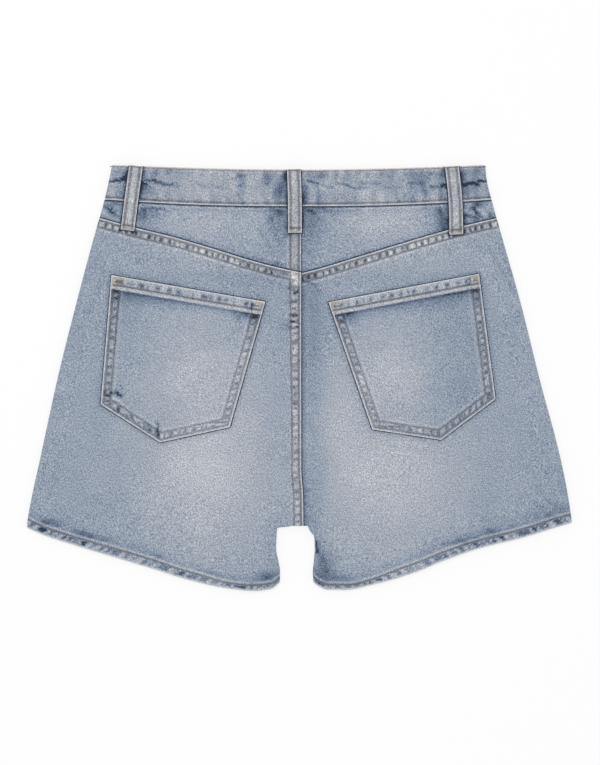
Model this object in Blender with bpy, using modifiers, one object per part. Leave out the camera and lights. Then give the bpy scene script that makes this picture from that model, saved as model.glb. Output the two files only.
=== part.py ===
"""Denim shorts laid flat on a surface, back side up, as closed sewn pieces.

Frame: metres, +Z up out of the surface, +Y towards the waist, +X to the wearer's right.
The origin is under the middle of the garment, on the surface it rests on. The front of the
shorts lies on the surface and the back lies on the front. Every cloth piece is a wall that
follows one height function, so layers stay clear of each other and seams stay in line.
"""

import math

import bmesh
import bpy
from mathutils import Vector

MM = 0.001

# ---------------------------------------------------------------- driving sizes, millimetres

CLOTH = 1.0                 # one layer of denim
GAP = 0.3                   # clearance between neighbouring pieces
SEAM_GAP = 0.5              # where a curved seam runs between two pieces
SIDE_SEAM_GAP = 0.84        # between back and front on the folded edges
BAND_WALL = 1.7             # folded waistband strip
BAND_RADIUS = 2.9           # side folds of the waistband, outside
FOLD_RADIUS = 2.4           # side and inner-leg folds, outside
HEM_WALL = 2.3              # turned hem, three layers pressed
HEM_DEPTH = 10.0
HEM_END = 12.5              # where the hem's thickness has run out
HEM_RISE = 0.35             # how much the turned hem stands up
HEM_EDGE_WALL = 1.5         # hem pressed thin at the side and inner-leg folds
LOW_HEIGHT = 3.5            # upper face where the layers lie close together
HIGH_HEIGHT = 5.1           # upper face near folds, waist, fly and hem
FOLD_SPREAD = 15.0          # how far from a fold the layers stay apart
HEM_SPREAD = 14.0           # how far above the hem they stay apart
WAIST_UP = 182.0            # and how far below the waistband
WAIST_SPREAD = 42.0
FLY_HALF = 22.0             # half width of the fly's flat top
FLY_SPREAD = 75.0           # distance from the fly's middle where its height has run out
FELL_WIDTH = 9.0            # flat-felled seam, edge to second row
FELL_END = 13.0             # where the fell's thickness has run out
FELL_RISE = 0.6
POCKET_EDGE_WIDTH = 8.5     # turned-in edge of a patch pocket
POCKET_EDGE_END = 12.0      # where that edge's thickness has run out
POCKET_EDGE_RISE = 0.5
POCKET_HEM_WIDTH = 13.0
POCKET_HEM_RISE = 1.1
LOOP_WIDTH = 13.6
LOOP_WALL = 1.6
LOOP_ARCH = 1.0             # slack of a loop over the waistband
LOOP_EDGE_DROP = 0.35       # a loop's edges are pressed lower than its middle
FRONT_DIP = 22.0            # the front waist sits lower than the back
FRONT_HEM_LIFT = 7.0        # the front hem sits higher than the back between its ends
FRONT_SLACK = 0.35          # height that the button's lift must pass before the front rises
FLY_EDGE = 3.0              # place of the fly's closing edge across the front
FLY_MIDDLE = -6.0           # middle of the zip and its shield
FLY_TOP = 149.0             # upper end of the shield
FLY_END = 42.0              # lower end of the shield
SHIELD_WIDTH = 38.0
ZIP_WIDTH = 26.0
ZIP_WALL = 0.7
ZIP_INSET = (1.0, 8.0)      # how much shorter the zip is than its shield, above and below
UNDERLAP = 34.0             # waistband end hidden behind the buttoned end
BUTTON_LIFT = 2.5           # the waistband is held off the surface by the button
BUTTON_SPREAD = 48.0        # how far beside the button the cloth comes down again
BUTTON_REACH = (95.0, 10.0)  # where that lift starts and ends, below the button
BUTTON_RADIUS = 8.5
BUTTON_HEIGHT = 2.1
BUTTON_PLACE = (-5.0, 169.5)

# Upper and lower edge of the waistband's back, curving up towards the sides.
BAND_TOP = {"middle": 208.0, "rise": 5.0, "half": 188.0, "power": 1.6}
BAND_BOTTOM = {"middle": 171.6, "rise": 6.8, "half": 193.0, "power": 2.2}

# Side edges of the laid garment: height up the garment, edge on either side.
SIDES = (
    {"up": 214.0, "left": -187.4, "right": 185.6},
    {"up": 198.0, "left": -190.6, "right": 187.4},
    {"up": 178.0, "left": -195.2, "right": 192.3},
    {"up": 138.0, "left": -206.5, "right": 203.5},
    {"up": 78.0, "left": -222.5, "right": 220.5},
    {"up": -2.0, "left": -242.5, "right": 240.5},
    {"up": -82.0, "left": -259.8, "right": 261.5},
    {"up": -122.0, "left": -268.5, "right": 269.3},
    {"up": -146.0, "left": -272.5, "right": 272.5},
    {"up": -215.0, "left": -276.0, "right": 276.0},
)

# Inner-leg folds below the crotch.
INNER_LEGS = (
    {"up": -148.0, "left": -21.8, "right": 8.4},
    {"up": -153.0, "left": -22.6, "right": 10.4},
    {"up": -159.0, "left": -23.0, "right": 14.8},
    {"up": -171.0, "left": -23.4, "right": 15.2},
    {"up": -182.0, "left": -21.3, "right": 14.4},
    {"up": -194.0, "left": -19.5, "right": 13.3},
    {"up": -206.0, "left": -19.7, "right": 14.0},
    {"up": -214.0, "left": -19.8, "right": 15.0},
)
CROTCH_UP = -148.0
CROTCH_STEP = 1.8           # the left leg's allowance hangs this much lower at the crotch
CROTCH_STEP_ACROSS = (-12.5, -8.5)
SIDE_ROW_LIFT = 62.0        # how much higher that row of the leg runs at the side
SIDE_ROW_ACROSS = (30.0, 250.0)

# Lower edge of the leg hems: distance from the middle of the garment, height on either side.
HEMS = (
    {"out": 13.0, "left": -201.0, "right": -203.5},
    {"out": 20.0, "left": -205.0, "right": -209.0},
    {"out": 28.0, "left": -211.0, "right": -211.8},
    {"out": 45.0, "left": -213.0, "right": -212.0},
    {"out": 75.0, "left": -210.0, "right": -206.3},
    {"out": 115.0, "left": -200.8, "right": -194.6},
    {"out": 145.0, "left": -191.4, "right": -182.4},
    {"out": 180.0, "left": -180.8, "right": -170.4},
    {"out": 225.0, "left": -167.2, "right": -159.2},
    {"out": 255.0, "left": -157.4, "right": -149.9},
    {"out": 273.0, "left": -149.5, "right": -144.6},
)
HEM_START_UP = -200.0       # heights where the hem leaves the inner-leg and the side fold
HEM_STOP_UP = -148.0

# Seam between yoke and seat: distance from the middle, height on either side.
YOKE_SEAMS = (
    {"out": 0.0, "left": 105.6, "right": 104.1},
    {"out": 20.0, "left": 109.9, "right": 109.2},
    {"out": 50.0, "left": 117.9, "right": 118.4},
    {"out": 90.0, "left": 130.4, "right": 130.7},
    {"out": 130.0, "left": 141.9, "right": 142.7},
    {"out": 165.0, "left": 150.4, "right": 152.2},
    {"out": 205.0, "left": 161.4, "right": 161.7},
)

# Middle seam of the back.
SEAT_SEAM = (
    {"up": 220.0, "across": 1.6},
    {"up": -90.0, "across": 1.8},
    {"up": -120.0, "across": 3.6},
    {"up": -150.0, "across": 4.0},
)

# Patch pockets, corner by corner: along the top, then the shield-shaped bottom.
POCKETS = {
    "left": {
        "top_out": (-188.0, 102.9), "top_in": (-34.1, 76.2),
        "low_out": (-198.8, -26.3), "tip": (-139.5, -64.5), "low_in": (-69.7, -49.2),
    },
    "right": {
        "top_out": (179.5, 104.2), "top_in": (28.9, 75.8),
        "low_out": (196.0, -21.1), "tip": (141.6, -61.9), "low_in": (72.7, -51.4),
    },
}

# Belt loops: middle of the upper end and of the lower end.
LOOPS = {
    "left": {"top": (-163.2, 212.0), "end": (-171.9, 147.6)},
    "centre": {"top": (-5.6, 208.4), "end": (-4.5, 144.8)},
    "right": {"top": (152.1, 211.6), "end": (156.7, 143.4)},
}

# Where the pieces' grids have their lines, as shares of a width or distances in millimetres.
LEG_SHARES = (0.05, 0.12, 0.23, 0.35, 0.47, 0.59, 0.7, 0.8, 0.88, 0.95)
SEAT_SHARES = {"left": (0.25, 0.5, 0.75, 1.0), "right": (0.35, 0.65, 1.0)}
SEAT_ROW_SHARES = (0.16, 0.32, 0.48, 0.64, 0.78, 0.9)
LEG_ROW_SHARES = (0.3, 0.65)
YOKE_SHARES = (0.06, 0.14, 0.26, 0.4, 0.54, 0.68, 0.8)
YOKE_SEAM_START = 24.0      # distance from the middle seam where a yoke's last columns start
LOOP_STATIONS = (0.0, 3.0, 7.0, 13.0, 20.0, 27.0, 33.0, 37.0, 41.0, 47.0, 53.0, 58.0)
LOOP_SHARES = (-0.5, -0.42, -0.2, 0.0, 0.2, 0.42, 0.5)
POCKET_SHARES = (0.0, 0.03, 0.065, 0.16, 0.3)
POCKET_ROW_SHARES = (0.0, 0.03, 0.075, 0.1, 0.25, 0.4, 0.55, 0.7, 0.84, 0.93, 0.97, 1.0)

# Half section of the button's cap: shares of its radius and of its height.
BUTTON_SECTION = (
    (0.0, 0.0), (0.72, 0.0), (0.9, 0.08), (1.0, 0.3), (1.0, 0.62), (0.93, 0.9), (0.86, 1.0),
    (0.0, 1.0),
)
BUTTON_STEPS = 28

DENIM = {"colour": (0.33, 0.38, 0.46), "roughness": 0.9, "metallic": 0.0}
DENIM_DARK = {"colour": (0.25, 0.30, 0.38), "roughness": 0.9, "metallic": 0.0}
COPPER = {"colour": (0.55, 0.36, 0.22), "roughness": 0.35, "metallic": 1.0}
ZIP_TAPE = {"colour": (0.16, 0.2, 0.28), "roughness": 0.8, "metallic": 0.0}

parts = bpy.data.collections.new("denim_shorts")


# ---------------------------------------------------------------- small helpers

def smooth_column(rows, key, value):
    """Return a smooth function through one column of a table, without overshoot."""
    points = sorted((row[key], row[value]) for row in rows)
    slopes = [(b[1] - a[1]) / (b[0] - a[0]) for a, b in zip(points, points[1:])]
    tangents = [slopes[0]]
    for before, after in zip(slopes, slopes[1:]):
        tangents.append(0.0 if before * after <= 0.0 else 2.0 * before * after / (before + after))
    tangents.append(slopes[-1])

    def at(place):
        place = min(max(place, points[0][0]), points[-1][0])
        index = max(i for i in range(len(points) - 1) if i == 0 or points[i][0] <= place)
        (x0, y0), (x1, y1) = points[index], points[index + 1]
        span = x1 - x0
        t = (place - x0) / span
        rise = tangents[index] * span
        fall = tangents[index + 1] * span
        return (
            y0 * (2 * t ** 3 - 3 * t ** 2 + 1) + rise * (t ** 3 - 2 * t ** 2 + t)
            + y1 * (3 * t ** 2 - 2 * t ** 3) + fall * (t ** 3 - t ** 2)
        )

    return at


def ease(value, low, high):
    """Return a soft step from 0 at low to 1 at high."""
    t = min(max((value - low) / (high - low), 0.0), 1.0)
    return t * t * (3.0 - 2.0 * t)


def bump(value, width):
    """Return a bell of height 1 at zero."""
    return math.exp(-(value / width) ** 2)


def mix(start, end, share):
    return start + (end - start) * share


side_edge = {side: smooth_column(SIDES, "up", side) for side in ("left", "right")}
inner_leg = {side: smooth_column(INNER_LEGS, "up", side) for side in ("left", "right")}
hem_line = {side: smooth_column(HEMS, "out", side) for side in ("left", "right")}
yoke_line = {side: smooth_column(YOKE_SEAMS, "out", side) for side in ("left", "right")}
seat_seam = smooth_column(SEAT_SEAM, "up", "across")
SIGN = {"left": -1.0, "right": 1.0}


def hem_height(side, across):
    return hem_line[side](abs(across))


def front_hem_height(side, across):
    """The front hem meets the back hem at both folds and sits above it in between."""
    near = abs(inner_leg[side](HEM_START_UP))
    far = abs(side_edge[side](HEM_STOP_UP))
    share = min(max((abs(across) - near) / (far - near), 0.0), 1.0)
    return hem_height(side, across) + FRONT_HEM_LIFT * math.sin(math.pi * share)


def band_edge(edge, across):
    """Height of an edge of the waistband's back."""
    return edge["middle"] + edge["rise"] * (abs(across) / edge["half"]) ** edge["power"]


def front_dip(across):
    return FRONT_DIP * max(0.0, 1.0 - (abs(across) / BAND_TOP["half"]) ** 2)


def crotch_height(across):
    """Height of the fold between the legs, with the left leg's allowance a little lower."""
    return CROTCH_UP - CROTCH_STEP * (1.0 - ease(across, *CROTCH_STEP_ACROSS))


# ---------------------------------------------------------------- heights of the laid layers

def fold_distance(side, across, up):
    """Distance from the nearest folded edge of the laid garment."""
    outward = SIGN[side]
    reach = 5.0
    lean = (side_edge[side](up + reach) - side_edge[side](up - reach)) / (2.0 * reach)
    outer = (side_edge[side](up) - across) * outward / math.hypot(1.0, lean)
    corner = inner_leg[side](CROTCH_UP)
    crotch = crotch_height(across)
    if up < crotch:
        inner = (across - inner_leg[side](up)) * outward
    elif (across - corner) * outward > 0.0:
        inner = math.hypot(across - corner, up - crotch)
    else:
        inner = up - crotch
    return max(0.0, min(outer, inner))


def fold_drop(distance):
    """How far the wall has rounded down at a folded edge."""
    share = max(0.0, 1.0 - distance / FOLD_RADIUS)
    return FOLD_RADIUS * (1.0 - math.sqrt(max(0.0, 1.0 - share * share)))


def button_rise(across, up):
    """The stack over the button is held up by it."""
    beside = max(0.0, abs(across - BUTTON_PLACE[0]) - BUTTON_RADIUS)
    low, high = (BUTTON_PLACE[1] - reach for reach in BUTTON_REACH)
    return BUTTON_LIFT * bump(beside, BUTTON_SPREAD) * ease(up, low, high)


def laid_height(side, across, up):
    """Height of the back's upper face before seams, pockets and edges."""
    folded = bump(fold_distance(side, across, up), FOLD_SPREAD)
    waist = bump(max(0.0, WAIST_UP - up), WAIST_SPREAD)
    beside_fly = ease(abs(across - FLY_MIDDLE), FLY_HALF, FLY_SPREAD)
    fly = (1.0 - beside_fly) * ease(up, FLY_END - 40.0, FLY_END - 4.0)
    hem = bump(max(0.0, up - hem_height(side, across) - HEM_DEPTH), HEM_SPREAD)
    full = 1.0 - (1.0 - folded) * (1.0 - waist) * (1.0 - fly) * (1.0 - hem)
    return mix(LOW_HEIGHT, HIGH_HEIGHT, full) + button_rise(across, up)


def back_height(side, across, up):
    """Upper face of the back panels and yokes, with their felled seams and turned hems."""
    height = laid_height(side, across, up)
    below_seam = yoke_line[side](abs(across)) - up
    if below_seam >= 0.0:
        height += FELL_RISE * ease(below_seam, -0.5, 0.8) * (1.0 - ease(below_seam, FELL_WIDTH, FELL_END))
    from_middle = seat_seam(up) - across
    if side == "left":
        height += FELL_RISE * (1.0 - ease(from_middle, FELL_WIDTH, FELL_END))
    return height


def front_height(across, up):
    """Underside of the front: flat on the surface, and off it only near the button."""
    lifted = max(0.0, button_rise(across, up) - FRONT_SLACK)
    return lifted * BUTTON_LIFT / (BUTTON_LIFT - FRONT_SLACK)


# ---------------------------------------------------------------- builders

def principled(name, finish):
    material = bpy.data.materials.new(name)
    material.use_nodes = True
    shader = material.node_tree.nodes["Principled BSDF"]
    shader.inputs["Base Color"].default_value = (*finish["colour"], 1.0)
    shader.inputs["Roughness"].default_value = finish["roughness"]
    shader.inputs["Metallic"].default_value = finish["metallic"]
    return material


def add_part(name, mesh, finish):
    part = bpy.data.objects.new(name, mesh)
    part.data.materials.append(principled(name, finish))
    parts.objects.link(part)
    return part


def cloth(name, columns, rows, place, wall, finish, facing_down=False, keep=None):
    """Make one cloth piece: a grid laid by place(column, row), then given its wall inward."""
    sheet = bmesh.new()
    bmesh.ops.create_grid(sheet, x_segments=len(columns) - 1, y_segments=len(rows) - 1, size=0.5)
    layer = sheet.verts.layers.deform.verify()
    walls = {}
    for vertex in sheet.verts:
        i = round((vertex.co.x + 0.5) * (len(columns) - 1))
        j = round((0.5 - vertex.co.y) * (len(rows) - 1))
        walls[vertex] = wall(columns[i], rows[j])
        vertex.co = Vector(place(columns[i], rows[j])) * MM
        vertex.index = j * len(columns) + i
    if keep is not None:
        outside = []
        for face in sheet.faces:
            steps = [divmod(vertex.index, len(columns)) for vertex in face.verts]
            if not keep(min(i for _, i in steps), min(j for j, _ in steps)):
                outside.append(face)
        bmesh.ops.delete(sheet, geom=outside, context="FACES")
    thickest = max(walls[vertex] for vertex in sheet.verts)
    for vertex in sheet.verts:
        vertex[layer][0] = walls[vertex] / thickest
    if facing_down:
        bmesh.ops.reverse_faces(sheet, faces=sheet.faces)
    mesh = bpy.data.meshes.new(name)
    sheet.to_mesh(mesh)
    sheet.free()
    part = add_part(name, mesh, finish)
    part.vertex_groups.new(name="wall")
    solidify = part.modifiers.new("wall", "SOLIDIFY")
    solidify.thickness = thickest * MM
    solidify.offset = -1.0
    solidify.vertex_group = "wall"
    return part


def rim_steps(count=3):
    """Distances from a folded edge that follow its rounding."""
    quarter = math.pi / 2.0
    return [FOLD_RADIUS * (1.0 - math.cos(quarter * step / count)) for step in range(count + 1)]


def hem_share(up, edge):
    """1 on the turned hem, easing to 0 just above its fold."""
    return 1.0 - ease(up - edge, HEM_DEPTH, HEM_END)


# ---------------------------------------------------------------- yokes

def make_yoke(side):
    """Shaped strip between waistband and seat, from the side fold to the middle seam."""
    outward = SIGN[side]
    seam_gap = GAP if side == "right" else 0.0
    columns = [("rim", step) for step in rim_steps()]
    columns += [("share", share) for share in YOKE_SHARES]
    seam_steps = (YOKE_SEAM_START, FELL_END, FELL_WIDTH, FELL_WIDTH / 2.0, 0.0)
    columns += [("seam", distance) for distance in seam_steps]
    rows = [0.0, 0.25, 0.5, 0.75, 1.0]

    def across_at(column, up):
        kind, value = column
        outer = side_edge[side](up)
        middle = seat_seam(up) + seam_gap
        if kind == "rim":
            return outer - value * outward
        if kind == "share":
            return mix(outer - FOLD_RADIUS * outward, middle + YOKE_SEAM_START * outward, value)
        return middle + value * outward

    def place(column, row):
        across = across_at(column, BAND_BOTTOM["middle"])
        for _ in range(4):
            upper = band_edge(BAND_BOTTOM, across) - SEAM_GAP
            lower = yoke_line[side](abs(across)) + SEAM_GAP
            up = mix(upper, lower, row)
            across = across_at(column, up)
        height = back_height(side, across, up) - fold_drop(fold_distance(side, across, up))
        return across, up, max(height, (HIGH_HEIGHT + SIDE_SEAM_GAP) / 2.0)

    flip = side == "right"
    ordered = list(reversed(columns)) if flip else columns
    cloth("yoke_" + side, ordered, rows, place, lambda column, row: CLOTH, DENIM)


# ---------------------------------------------------------------- seat and leg panels

def leg_columns(side):
    """Columns from the side fold inward, and which of them is the inner-leg fold."""
    steps = rim_steps()
    columns = [("rim", step) for step in steps]
    columns += [("share", share) for share in LEG_SHARES]
    columns += [("leg", step) for step in reversed(steps)]
    split = len(columns) - 1
    columns += [("seam", share) for share in SEAT_SHARES[side]]
    return columns, split


def make_leg_panel(name, side, upper_edge, lower_edge, middle, surface, facing_down):
    """One leg of the front or the back, from its upper seam to its turned hem.

    The columns nearest the middle stop at the crotch fold. The others run on to the hem, with
    the inner-leg fold as their last edge.
    """
    outward = SIGN[side]
    columns, split = leg_columns(side)
    rows = [("upper", step) for step in (0.0, FELL_WIDTH / 2.0, FELL_WIDTH, FELL_END)]
    rows += [("share", share) for share in SEAT_ROW_SHARES]
    rows += [("crotch", step) for step in reversed(rim_steps())]
    crotch_row = len(rows) - 1
    rows += [("low", share) for share in LEG_ROW_SHARES]
    rows += [("hem", step) for step in (HEM_END, HEM_DEPTH, HEM_DEPTH / 2.0, 0.0)]

    def crotch_row_height(across):
        """The crotch row bends up towards the side, where the leg is shorter."""
        return crotch_height(across) + SIDE_ROW_LIFT * ease(abs(across), *SIDE_ROW_ACROSS)

    def across_at(column, up):
        kind, value = column
        outer = side_edge[side](up)
        inner = inner_leg[side](min(up, CROTCH_UP))
        if kind == "rim":
            return outer - value * outward
        if kind == "share":
            return mix(outer - FOLD_RADIUS * outward, inner + FOLD_RADIUS * outward, value)
        if kind == "leg":
            return inner + value * outward
        return mix(inner, middle(up), value)

    def up_at(row, across):
        kind, value = row
        upper = upper_edge(across)
        if kind == "upper":
            return upper - value
        crotch = crotch_row_height(across)
        if kind == "share":
            return mix(upper - FELL_END, crotch + FOLD_RADIUS, value)
        if kind == "crotch":
            return crotch + value
        lower = lower_edge(across)
        if kind == "low":
            return mix(crotch, lower + HEM_END, value)
        return lower + value

    def spot(column, row):
        across = across_at(column, 0.0)
        up = up_at(row, across)
        for _ in range(5):
            across = across_at(column, up)
            up = up_at(row, across)
        return across, up

    def place(column, row):
        across, up = spot(column, row)
        return across, up, surface(across, up)

    def wall(column, row):
        across, up = spot(column, row)
        inside = ease(fold_distance(side, across, up), 1.0, 7.0)
        hem_wall = mix(HEM_EDGE_WALL, HEM_WALL, inside)
        return mix(CLOTH, hem_wall, hem_share(up, lower_edge(across)))

    def keep(i, j):
        leftmost = len(columns) - 1 - split
        in_seat = i >= split if side == "left" else i < leftmost
        return not (in_seat and j >= crotch_row)

    ordered = columns if side == "left" else list(reversed(columns))
    cloth(name, ordered, rows, place, wall, DENIM, facing_down=facing_down, keep=keep)


def make_back(side):
    seam_gap = GAP if side == "right" else 0.0

    def surface(across, up):
        height = back_height(side, across, up)
        height += HEM_RISE * hem_share(up, hem_height(side, across))
        drop = fold_drop(fold_distance(side, across, up))
        return max(height - drop, (HIGH_HEIGHT + SIDE_SEAM_GAP) / 2.0)

    make_leg_panel(
        "back_" + side, side,
        upper_edge=lambda across: yoke_line[side](abs(across)),
        lower_edge=lambda across: hem_height(side, across),
        middle=lambda up: seat_seam(up) + seam_gap,
        surface=surface, facing_down=False,
    )


def make_front(side):
    seam_gap = GAP if side == "right" else 0.0

    def surface(across, up):
        return min(
            front_height(across, up) + fold_drop(fold_distance(side, across, up)),
            (HIGH_HEIGHT - SIDE_SEAM_GAP) / 2.0,
        )

    make_leg_panel(
        "front_" + side, side,
        upper_edge=lambda across: band_edge(BAND_BOTTOM, across) - front_dip(across) - SEAM_GAP,
        lower_edge=lambda across: front_hem_height(side, across),
        middle=lambda up: FLY_EDGE + seam_gap,
        surface=surface, facing_down=True,
    )


# ---------------------------------------------------------------- waistband

def make_waistband():
    """One folded strip round the waist, its ends lapped and buttoned at the front."""
    def flat(start, end, count, height, front):
        return [("flat", mix(start, end, step / count), height, front) for step in range(count + 1)]

    def fold(side, count=6):
        angles = [math.pi * step / count for step in range(1, count)]
        return [("fold", side, angle if side == "right" else math.pi - angle) for angle in angles]

    top = 2.0 * BAND_RADIUS
    inner_layer = BAND_WALL + GAP
    lap = 14.0
    step_start = FLY_EDGE + 3.0
    near_middle, front_start, near_side, beside_fold = 0.04, 0.16, 0.88, 0.94
    path = [("end", FLY_EDGE + 2.0 - UNDERLAP, inner_layer), ("end", FLY_EDGE - lap, inner_layer)]
    path += [("end", step_start, inner_layer), ("end", FLY_EDGE + lap, 0.0)]
    path += flat(front_start, near_side, 8, 0.0, "right")
    path += flat(beside_fold, 1.0, 1, 0.0, "right")
    path += fold("right")
    path += flat(1.0, beside_fold, 1, top, "right")
    path += flat(near_side, near_middle, 9, top, "right")
    path += flat(near_middle, near_side, 9, top, "left")
    path += flat(beside_fold, 1.0, 1, top, "left")
    path += fold("left")
    path += flat(1.0, beside_fold, 1, 0.0, "left")
    path += flat(near_side, front_start, 8, 0.0, "left")
    path += [("end", FLY_EDGE - lap, 0.0), ("end", FLY_EDGE, 0.0)]
    widths = [0.0, 0.5, 1.0]

    def edge_reach(side, share):
        """Where the waistband's side fold lies, leaning out towards its lower edge."""
        corner_top = band_edge(BAND_TOP, BAND_TOP["half"])
        corner_bottom = band_edge(BAND_BOTTOM, BAND_BOTTOM["half"])
        return abs(side_edge[side](mix(corner_top, corner_bottom, share))) - BAND_RADIUS

    def height_up(across, share):
        return mix(band_edge(BAND_TOP, across), band_edge(BAND_BOTTOM, across), share)

    def place(station, share):
        if station[0] == "fold":
            _, side, angle = station
            reach = edge_reach(side, share)
            across = SIGN[side] * (reach + BAND_RADIUS * math.sin(angle))
            height = BAND_RADIUS * (1.0 - math.cos(angle))
            return across, height_up(reach, share), height
        if station[0] == "flat":
            _, part_of, height, side = station
            across = SIGN[side] * part_of * edge_reach(side, share)
        else:
            _, across, height = station
        dip = front_dip(across) if height < BAND_RADIUS else 0.0
        up = height_up(across, share) - dip
        return across, up, height + button_rise(across, up)

    cloth("waistband", path, widths, place, lambda station, share: BAND_WALL, DENIM,
          facing_down=True)


# ---------------------------------------------------------------- belt loops

def make_loop(name, ends):
    """Folded strip over the waistband, stitched down at its top and on the yoke."""
    (top_across, top_up), (end_across, end_up) = ends["top"], ends["end"]
    length = math.hypot(end_across - top_across, end_up - top_up)
    along = ((end_across - top_across) / length, (end_up - top_up) / length)
    wide = (-along[1], along[0])
    if wide[0] < 0.0:
        wide = (-wide[0], -wide[1])

    def carrier(across, up):
        """Upper face of what the loop lies on, eased over the waistband's lower edge."""
        band = 2.0 * BAND_RADIUS + button_rise(across, up)
        cloth_face = max(back_height("left", across, up), back_height("right", across, up))
        over_edge = ease(up - band_edge(BAND_BOTTOM, across), -7.0, -0.6)
        return mix(cloth_face, max(band, cloth_face), over_edge)

    def place(share, step):
        across = top_across + along[0] * step + wide[0] * share * LOOP_WIDTH
        up = top_up + along[1] * step + wide[1] * share * LOOP_WIDTH
        slack = math.sin(math.pi * min(1.0, step / (length - 4.0))) ** 2
        height = carrier(across, up) + GAP + wall(share, step) + LOOP_ARCH * slack
        return across, up, height

    def wall(share, step):
        return LOOP_WALL - (LOOP_EDGE_DROP if abs(share) == 0.5 else 0.0)

    cloth(name, LOOP_SHARES, LOOP_STATIONS + (length,), place, wall, DENIM)


# ---------------------------------------------------------------- patch pockets

def make_pocket(side):
    """Shield-shaped patch on the seat, its edges turned in and its mouth hemmed."""
    corners = {name: Vector(place) for name, place in POCKETS[side].items()}
    start, end = ("top_out", "top_in") if side == "left" else ("top_in", "top_out")
    low_start, low_end = ("low_out", "low_in") if side == "left" else ("low_in", "low_out")
    tip_share = (corners["tip"] - corners[low_start]).length
    tip_share /= tip_share + (corners["tip"] - corners[low_end]).length
    columns = [*POCKET_SHARES, tip_share, *(1.0 - share for share in reversed(POCKET_SHARES))]

    def spot(column, row):
        upper = corners[start].lerp(corners[end], column)
        if column <= tip_share:
            lower = corners[low_start].lerp(corners["tip"], column / tip_share)
        else:
            lower = corners["tip"].lerp(corners[low_end], (column - tip_share) / (1.0 - tip_share))
        return upper.lerp(lower, row)

    outline = [corners[name] for name in (start, end, low_end, "tip", low_start)]

    def edge_distance(point):
        distances = []
        for a, b in zip(outline, outline[1:] + outline[:1]):
            line = (b - a).normalized()
            offset = point - a
            distances.append(abs(line.x * offset.y - line.y * offset.x))
        return distances[0], min(distances[1:])

    def rise(point):
        from_mouth, from_edge = edge_distance(point)
        turned = POCKET_EDGE_RISE * (1.0 - ease(from_edge, POCKET_EDGE_WIDTH, POCKET_EDGE_END))
        hemmed = POCKET_HEM_RISE * (1.0 - ease(from_mouth, POCKET_HEM_WIDTH - 1.0, POCKET_HEM_WIDTH))
        return max(turned, hemmed)

    def place(column, row):
        point = spot(column, row)
        height = laid_height(side, point.x, point.y) + SEAM_GAP + CLOTH + rise(point)
        return point.x, point.y, height

    cloth("pocket_" + side, columns, POCKET_ROW_SHARES, place,
          lambda column, row: CLOTH + rise(spot(column, row)), DENIM)


# ---------------------------------------------------------------- fly and button

def make_fly():
    """Zip and its shield, laid over the closed front edges inside the shorts."""
    lengths = [0.0, 0.25, 0.5, 0.75, 1.0]
    shares = [0.0, 0.5, 1.0]

    def strip(name, width, top_up, end_up, lowest, thickness, finish):
        def place(share, step):
            across = FLY_MIDDLE + (share - 0.5) * width
            up = mix(top_up, end_up, step)
            return across, up, front_height(across, up) + lowest + thickness

        cloth(name, shares, lengths, place, lambda share, step: thickness, finish)

    zip_bottom = CLOTH + SEAM_GAP
    shield_bottom = zip_bottom + ZIP_WALL + GAP
    above, below = ZIP_INSET
    strip("fly_zip", ZIP_WIDTH, FLY_TOP - above, FLY_END + below, zip_bottom, ZIP_WALL, ZIP_TAPE)
    strip("fly_shield", SHIELD_WIDTH, FLY_TOP, FLY_END, shield_bottom, CLOTH, DENIM_DARK)


def make_button():
    """Shank button's cap under the lapped end of the waistband, resting on the surface."""
    outline = bmesh.new()
    points = []
    for radius, height in reversed(BUTTON_SECTION):
        spot = Vector((radius * BUTTON_RADIUS, 0.0, height * BUTTON_HEIGHT)) * MM
        points.append(outline.verts.new(spot))
    for a, b in zip(points, points[1:]):
        outline.edges.new((a, b))
    mesh = bpy.data.meshes.new("button")
    outline.to_mesh(mesh)
    outline.free()
    button = add_part("button", mesh, COPPER)
    button.location = (BUTTON_PLACE[0] * MM, BUTTON_PLACE[1] * MM, 0.0)
    turn = button.modifiers.new("turn", "SCREW")
    turn.steps = BUTTON_STEPS
    turn.render_steps = BUTTON_STEPS
    turn.use_merge_vertices = True
    turn.merge_threshold = 0.00005


def main():
    for thing in list(bpy.data.objects):
        bpy.data.objects.remove(thing, do_unlink=True)
    bpy.context.scene.collection.children.link(parts)
    for side in ("left", "right"):
        make_front(side)
        make_back(side)
        make_yoke(side)
        make_pocket(side)
    make_waistband()
    for place, ends in LOOPS.items():
        make_loop("loop_" + place, ends)
    make_fly()
    make_button()


main()
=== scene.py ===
"""Looks of a pair of washed denim shorts, laid flat with the back up.

Each sewn piece is a dense cloth sheet shaped by the garment's own outlines and heights, with
its felled seams, hems, puckers and creases, and a wash that is paler where cloth is rubbed.
Lengths in the tables are millimetres. Meshes are metres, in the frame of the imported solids.
"""

import math

import bmesh
import bpy
import numpy as np
from mathutils import Matrix, Vector


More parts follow.
